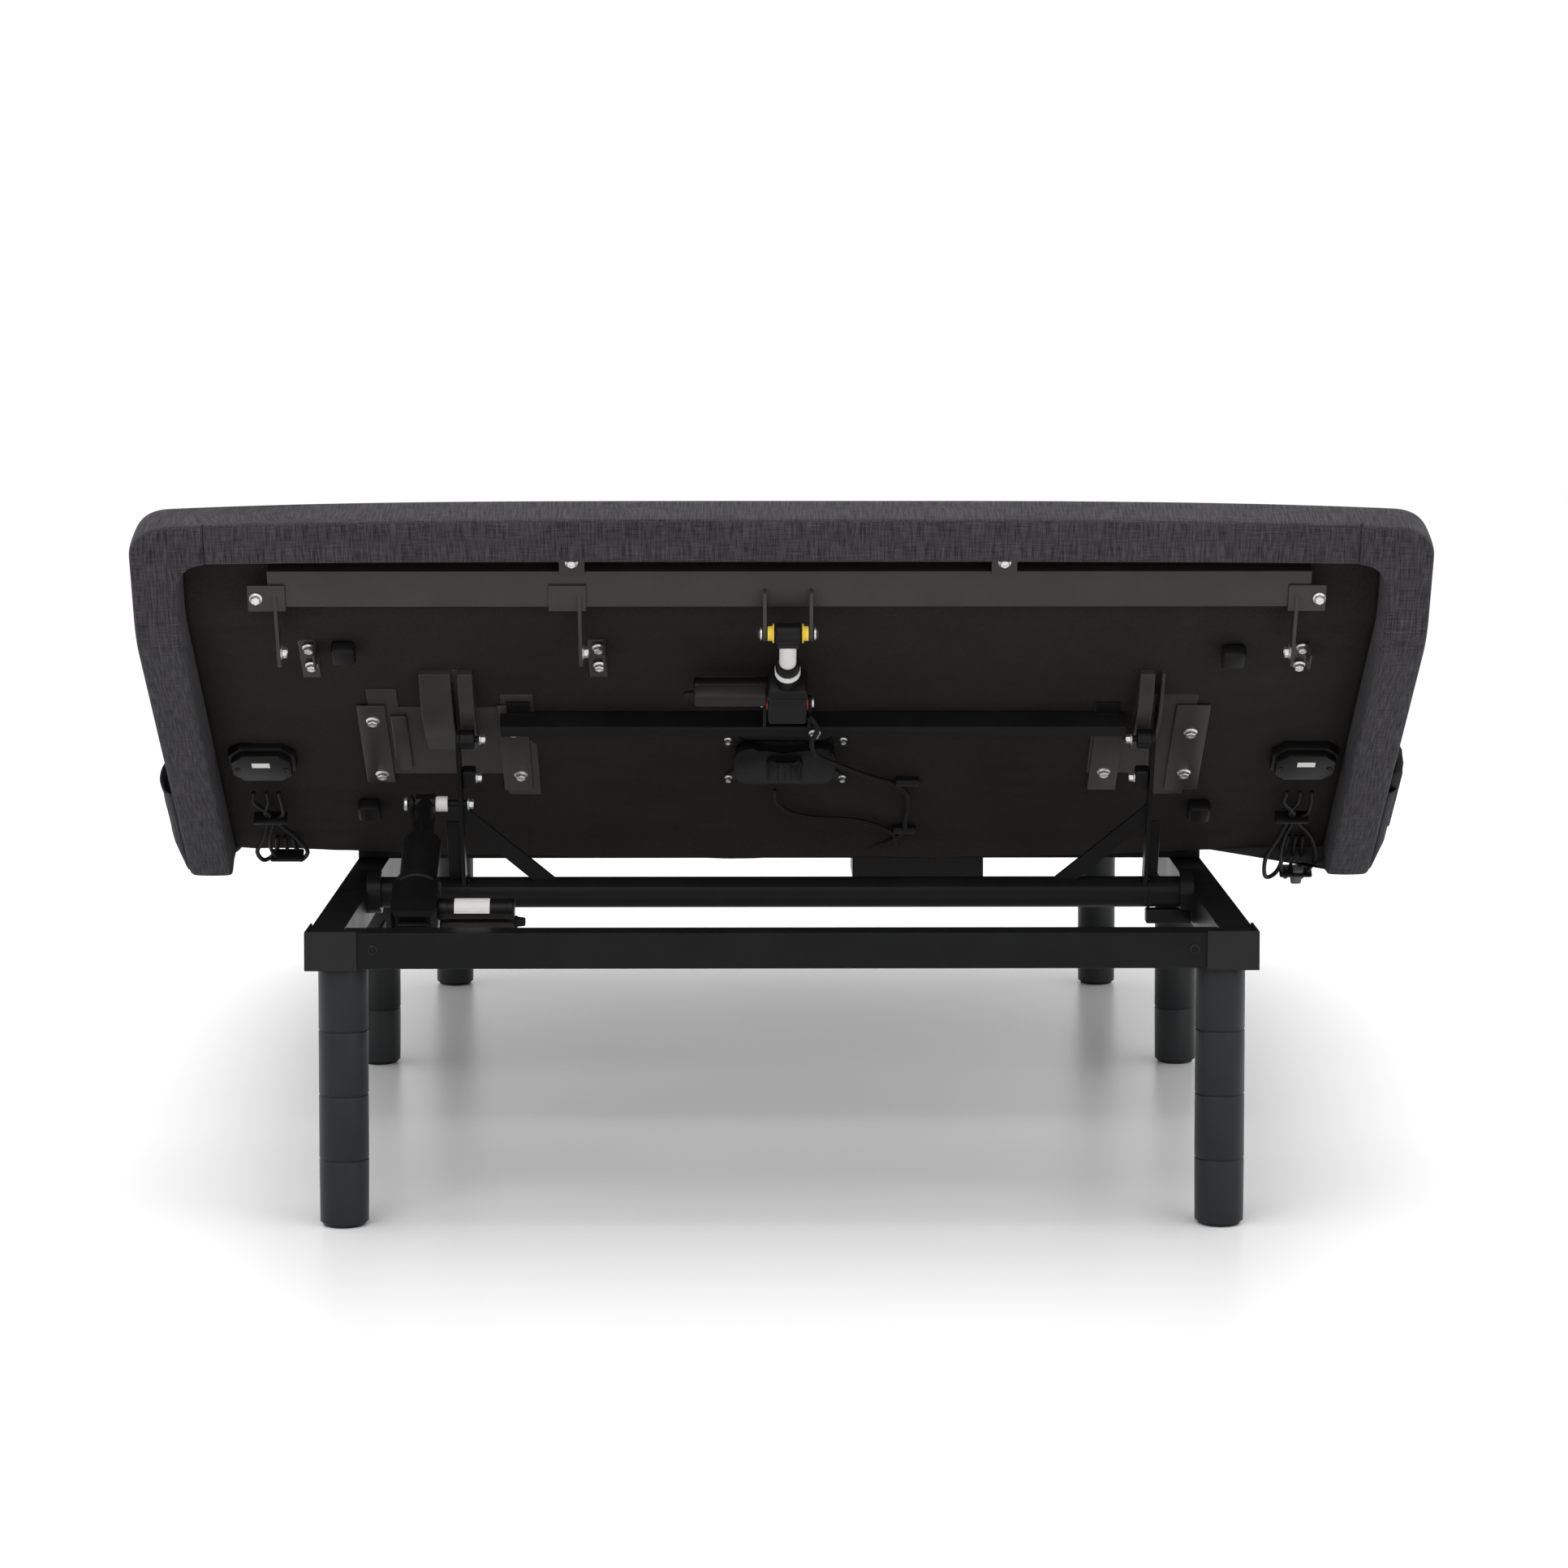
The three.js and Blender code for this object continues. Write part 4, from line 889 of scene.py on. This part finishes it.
# %% USB hubs
for side, x0 in (("left", -0.640), ("right", 0.648)):
    here = lambda x, s, z, x0=x0: back(x0 + x, 0.228 + s, z)
    octagon = [(-0.026, -0.031), (0.026, -0.031), (0.041, -0.016), (0.041, 0.016), (0.026, 0.031),
               (-0.026, 0.031), (-0.041, 0.016), (-0.041, -0.016)]
    bm = bmesh.new()
    prism(bm, octagon, -0.0192, -0.0330, here, 0.0016)
    prism(bm, [(x * 0.90, y * 0.88) for x, y in octagon], -0.0325, -0.0425, here, 0.0026)
    for k in (-1, 1):
        turned(bm, here(k * 0.030, 0, -0.0420), down,
               [(0, 0.0038), (0.0012, 0.0038), (0.0016, 0.0030), (0.0009, 0.0015)], 16)
    wear(finished(f"hub_{side}", bm, "back", "plastic", f"usb_hub_{side}"), PLASTIC)
    bm = bmesh.new()
    for k in range(4):
        brick(bm, here(-0.021 + 0.014 * k, -0.0285, -0.0300), (side_axis, along_back, down),
              (0.0095, 0.0060, 0.0045), 0.0005, 1)
    wear(finished(f"hub_ports_{side}", bm, "back", "zinc"), ZINC)
    bm = bmesh.new()
    brick(bm, here(0.0, 0.010, -0.04265), (side_axis, along_back, down), (0.022, 0.010, 0.0004))
    wear(finished(f"hub_label_{side}", bm, "back", "plastic"), LABEL)
bm = bmesh.new()
brick(bm, back(0.668, -0.040, -0.036), (side_axis, along_back, down), (0.014, 0.034, 0.012), 0.003, 3)
wear(finished("spare_plug", bm, "back", "plastic"), LEAD)
bm = bmesh.new()
for x, s in ((-0.642, 0.104), (-0.630, 0.012), (0.645, 0.104), (0.665, -0.030)):
    brick(bm, back(x, s, -0.037), (side_axis, along_back, down), (0.042, 0.005, 0.018), 0.002, 2)
wear(finished("cable_ties", bm, "back", "plastic"), PLASTIC)

# %% [markdown]
# Fabric pockets hang on both outer rims of the back. Each is an open bag of the same
# linen with a rolled hem at its mouth. The right one holds the handset.

# %% Pockets and handset
for side in ("left", "right"):
    sign = -1 if side == "left" else 1
    face = HALF * sign
    rows = []
    wall = 0.0016
    s0, s1 = 0.014, 0.197
    for k in range(30):
        s = s0 + (s1 - s0) * k / 29
        puff = 0.003 + 0.0118 * min(1.0, (s - s0) / 0.05) ** 0.7
        row = []
        for j in range(26):
            t = j / 25
            z = -0.0585 + 0.0535 * t
            belly = math.sin(math.pi * t) ** 0.45 if 0 < t < 1 else 0.0
            fold_wave = noise.noise(Vector((s * 30, t * 3, 7.0 * sign))) * 0.0009
            hem = 0.0012 if s > s1 - 0.012 else 0.0
            row.append(back(face + sign * (0.0004 + (puff + fold_wave) * belly + hem * belly), s, z))
        rows.append(row)
    rows = [[back(face + sign * 0.0003, s0 - 0.001, -0.0585 + 0.0535 * j / 25) for j in range(26)]] + rows
    piece = link(f"fabric_pocket_{side}", loft(f"fabric_pocket_{side}", rows), "back", "linen",
                 f"pocket_{side}")
    wear(piece, LINEN)
    thick = piece.modifiers.new("thickness", "SOLIDIFY")
    thick.thickness = wall
    thick.offset = 0
lo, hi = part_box("handset")
bm = bmesh.new()
x_mid = (lo[0] + hi[0]) / 2
shape = []
w, length, r = 0.020, 0.150, 0.012
for cx, cy, a0 in ((w - r, r, -90), (w - r, length - r, 0), (-w + r, length - r, 90), (-w + r, r, 180)):
    for k in range(7):
        a = math.radians(a0 + 15 * k)
        shape.append((cx + r * math.cos(a), cy + r * math.sin(a)))
hand = lambda a, b, t: back(x_mid + t, 0.0953 + b, -0.032 + a)
prism(bm, shape, -0.0054, 0.0054, hand, 0.003)
for k in range(3):
    for m in (-1, 1):
        turned(bm, hand(m * 0.008, 0.142 - 0.014 * k, 0.0050), (1, 0, 0),
               [(0, 0.0048), (0.0009, 0.0048), (0.0014, 0.0040), (0.0014, 0.0020)], 18)
wear(finished("handset_shell", bm, "handset", "plastic", "handset"), PLASTIC)

# %% [markdown]
# Linear motors: a gearbox with a screw tube, and a round motor that stands out to one
# side over a driver box. Ribs, caps, a cable gland and a blank label give them scale.

# %% Motor builder
def frame_of(origin, toward):
    """Axes at a motor's driven pin: x across the bed, y along the rod, z square to both."""
    y = (Vector(toward) - Vector(origin)).normalized()
    x = Vector((1, 0, 0))
    z = x.cross(y)
    return lambda a, b, c: Vector(origin) + x * a + y * b + z * c, (x, y, z)


def gearbox(bm, at, axes, centre, size):
    brick(bm, at(*centre), axes, size, 0.0045, 3)
    a, b, c = centre
    for k in (-1, 0, 1):
        brick(bm, at(a + k * size[0] * 0.26, b + size[1] * 0.505, c), axes,
              (size[0] * 0.14, 0.002, size[2] * 0.7), 0.0006, 1)
    brick(bm, at(a, b - size[1] * 0.30, c), axes, (size[0] * 1.03, 0.004, size[2] * 1.04), 0.0012, 2)


def motor_can(name, at, axes, x0, x1, y, z, body, driver_z):
    way = 1 if x1 > x0 else -1
    length = abs(x1 - x0)
    bm = bmesh.new()
    turned(bm, at(x0, y, z), axes[0] * way,
           [(0, 0.0126), (0.001, 0.0130), (length * 0.12, 0.0130), (length * 0.13, 0.0123),
            (length * 0.90, 0.0123),
           (length * 0.91, 0.0130), (length - 0.002, 0.0130), (length, 0.0112)], 40)
    wear(finished(name + "_can", bm, body, "plastic"), PLASTIC)
    bm = bmesh.new()
    brick(bm, at((x0 + x1) / 2, y, driver_z), axes, (length * 0.97, 0.0255, 0.0175), 0.0028, 3)
    wear(finished(name + "_driver", bm, body, "plastic"), OLIVE)
    bm = bmesh.new()
    turned(bm, at(x1 - way * 0.001, y, driver_z), axes[0] * way,
           [(0, 0.0075), (0.003, 0.0075), (0.004, 0.0062), (0.012, 0.0052), (0.013, 0.0040)], 20)
    wear(finished(name + "_gland", bm, body, "plastic"), RUBBER)


# %% [markdown]
# The tilt motor lies between the middle of the back and the pillow's lever. It is placed
# from the rod's pin and the direction in which the motor slides, so it follows the joint.

# %% Tilt motor
tilt_pin = Vector(joint["tilt_rod_turn"]["pos_m"])
slide = Vector(joint["tilt_motor_slide"]["axis"])
at, axes = frame_of(tilt_pin, tilt_pin + slide)
tail = (back(0, 0.396, -0.052) - tilt_pin)
pin_to_tail = Vector((0, tail.y, tail.z)).length
bm = bmesh.new()
turned(bm, at(-0.0145, 0, 0), (1, 0, 0),
       [(0, 0.0108), (0.001, 0.0120), (0.028, 0.0120), (0.029, 0.0108)], 40)
brick(bm, at(0, 0.010, 0), axes, (0.026, 0.020, 0.020), 0.002, 2)
wear(finished("tilt_knuckle", bm, "tilt_rod", "plastic", "tilt_rod"), PLASTIC)
bm = bmesh.new()
turned(bm, at(0, 0.016, 0), axes[1],
       [(0, 0.0096), (0.001, 0.0100), (pin_to_tail - 0.105, 0.0100), (pin_to_tail - 0.104, 0.0092)], 40)
wear(finished("tilt_screw_tube", bm, "tilt_rod", "zinc"), NYLON)
bm = bmesh.new()
for k in (-1, 1):
    turned(bm, at(k * 0.0165, 0, 0), (k, 0, 0),
           [(0, 0.0112), (0.0015, 0.0112), (0.0016, 0.0088), (0.0072, 0.0085)], 32)
wear(finished("tilt_bushes", bm, "tilt_rod", "plastic"), YELLOW)
bm = bmesh.new()
base = pin_to_tail - 0.098
turned(bm, at(0, base, 0), axes[1], [(0.046, 0.0140), (0.016, 0.0136), (0.014, 0.0145), (0.002, 0.0145),
                                     (0, 0.0134), (0, 0.0108), (0.044, 0.0108)], 40)
gearbox(bm, at, axes, (0, pin_to_tail - 0.0140, 0), (0.047, 0.078, 0.035))
wear(finished("tilt_gearbox", bm, "tilt_motor", "grey_plastic", "tilt_motor"), PLASTIC)
bm = bmesh.new()
turned(bm, at(0, base + 0.0155, 0), axes[1], [(0, 0.0120), (0, 0.0150), (0.0005, 0.0152), (0.009, 0.0152),
                                              (0.0095, 0.0146), (0.0095, 0.0120), (0, 0.0120)], 40)
# Without its end caps the ring is open, so the screw tube can run through it.
bmesh.ops.delete(bm, geom=[f for f in bm.faces if len(f.verts) > 4], context="FACES_ONLY")
wear(finished("tilt_ring", bm, "tilt_motor", "plastic"), NYLON)
motor_can("tilt", at, axes, -0.0235, -0.112, pin_to_tail - 0.030, 0.003, "tilt_motor", -0.0075)
bm = bmesh.new()
for k in (-1, 1):
    turned(bm, at(k * 0.0235, pin_to_tail, 0), (k, 0, 0), [(0, 0.0085), (0.0020, 0.0085)], 24)
wear(finished("tilt_rear_bushes", bm, "tilt_motor", "plastic"), RED)
bm = bmesh.new()
for k in (-1, 1):
    turned(bm, at(k * 0.0295, pin_to_tail, 0), (k, 0, 0),
           [(0, 0.0062), (0.0022, 0.0062), (0.0030, 0.0050)], 24)
wear(finished("tilt_rear_pin", bm, "back", "zinc"), ZINC)
bm = bmesh.new()
for k in (-1, 1):
    turned(bm, at(k * 0.0305, 0, 0), (k, 0, 0), [(0, 0.0075), (0.0018, 0.0075), (0.0026, 0.0062)], 24)
wear(finished("tilt_front_pin", bm, "pillow", "zinc"), ZINC)

# %% [markdown]
# The back motor pushes an arm of the torque tube. Its guide is bored, and the sleeve and
# the rod run back into it when the back goes down. With the deck flat they reach past the
# bore into the closed tail of the gearbox.

# %% Back motor
pin = Vector(joint["back_rod_turn"]["pos_m"])
slide = Vector(joint["back_motor_slide"]["axis"])
at, axes = frame_of(pin, pin + slide)
pin_to_tail = 0.2436
gear_box_start = pin_to_tail - 0.086
guide_start = pin_to_tail - 0.1040
can_at, can_rise, label_radius = pin_to_tail - 0.056, -0.006, 0.0126
bm = bmesh.new()
gearbox(bm, at, axes, (0, pin_to_tail - 0.0105, 0), (0.036, 0.037, 0.030))
turned(bm, at(0, gear_box_start, 0), axes[1],
       [(0.058, 0.030), (0.054, 0.0378), (0.004, 0.0385), (0, 0.0365), (0, 0.0348), (0.052, 0.0348)],
       4, math.pi / 4)
turned(bm, at(0, guide_start, 0), axes[1],
       [(0.020, 0.0272), (0.012, 0.0262), (0.010, 0.0278), (0.002, 0.0278), (0, 0.0262), (0, 0.0244),
        (0.019, 0.0244)], 48)
wear(finished("back_gearbox", bm, "back_motor", "plastic", "back_motor"), PLASTIC)
motor_can("back", at, axes, 0.0275, 0.118, can_at, can_rise, "back_motor", 0.015)
bm = bmesh.new()
for k in range(9):
    a = math.radians(-150 + 15 * k)
    around = axes[1] * -math.sin(a) + axes[2] * math.cos(a)
    outward = axes[1] * math.cos(a) + axes[2] * math.sin(a)
    brick(bm, at(0.068, can_at + label_radius * math.cos(a), can_rise + label_radius * math.sin(a)),
          (axes[0], around, outward), (0.042, 0.0036, 0.0006))
wear(finished("back_label", bm, "back_motor", "plastic"), LABEL)
bm = bmesh.new()
for x, w in ((-0.4015, 0.0190), (0.4600, 0.0150)):
    brick(bm, tube_at + Vector((x, 0, 0)) + arm_way * 0.062, (side_axis, arm_way, arm_side),
          (w, 0.090, 0.0030), 0.0010)
wear(finished("arm_gussets", bm, "back_torque", "black_steel"), STEEL)
bm = bmesh.new()
for x in (-0.392, 0.452):
    for k in range(14):
        a = math.radians(20 + 25 * k)
        turned(bm, tube_at + Vector((x + 0.0035, 0.0192 * math.cos(a), 0.0192 * math.sin(a))), (1, 0, 0),
               [(0, 0.0016), (0.0012, 0.0024), (0.0030, 0.0018)], 8)
wear(finished("arm_welds", bm, "back_torque", "black_steel"), STEEL)
wear(bpy.data.objects["back_rod"], PLASTIC)
bm = bmesh.new()
turned(bm, at(0.0125, 0, 0), (1, 0, 0), [(0, 0.0095), (0.0140, 0.0095), (0.0145, 0.0080)], 28)
wear(finished("back_spacer", bm, "back_rod", "plastic"), NYLON)
bm = bmesh.new()
turned(bm, at(-0.0225, 0, 0), (-1, 0, 0), [(0, 0.0085), (0.0030, 0.0085), (0.0042, 0.0065)], 24)
bolt(bm, at(0.0515, 0, 0), (1, 0, 0), 0.0062)
wear(finished("back_pin_ends", bm, "back_torque", "zinc"), ZINC)

# %% [markdown]
# The floor is a wide pale sheet, and soft boxes above the head end and at both sides
# light the underside of the raised back.

# %% Floor, lamps and world
bm = bmesh.new()
for x, y in ((-14, -14), (14, -14), (14, 16), (-14, 16)):
    bm.verts.new((x, y, 0))
bm.faces.new(bm.verts[:])
mesh = bpy.data.meshes.new("floor")
bm.to_mesh(mesh)
bm.free()
floor = bpy.data.objects.new("floor", mesh)
bpy.context.collection.objects.link(floor)
wear(floor, FLOOR)


def lamp(name, place, target, size, watts):
    data = bpy.data.lights.new(name, "AREA")
    data.shape = "RECTANGLE"
    data.size, data.size_y = size
    data.energy = watts
    made = bpy.data.objects.new(name, data)
    bpy.context.collection.objects.link(made)
    made.location = place
    made.rotation_euler = (Vector(target) - Vector(place)).to_track_quat("-Z", "Y").to_euler()


lamp("key", (-1.6, -4.2, 3.6), (0, -0.6, 0.5), (3.0, 2.4), 60)
lamp("fill", (2.8, -3.6, 2.0), (0, -0.6, 0.4), (2.4, 2.4), 22)
lamp("top", (0, 0.4, 4.2), (0, -0.2, 0.4), (4.0, 4.0), 90)
world = bpy.data.worlds.new("world")
world.use_nodes = True
world.node_tree.nodes["Background"].inputs["Color"].default_value = (1, 1, 1, 1)
world.node_tree.nodes["Background"].inputs["Strength"].default_value = 1.12
bpy.context.scene.world = world
bpy.context.scene.view_settings.view_transform = "Standard"
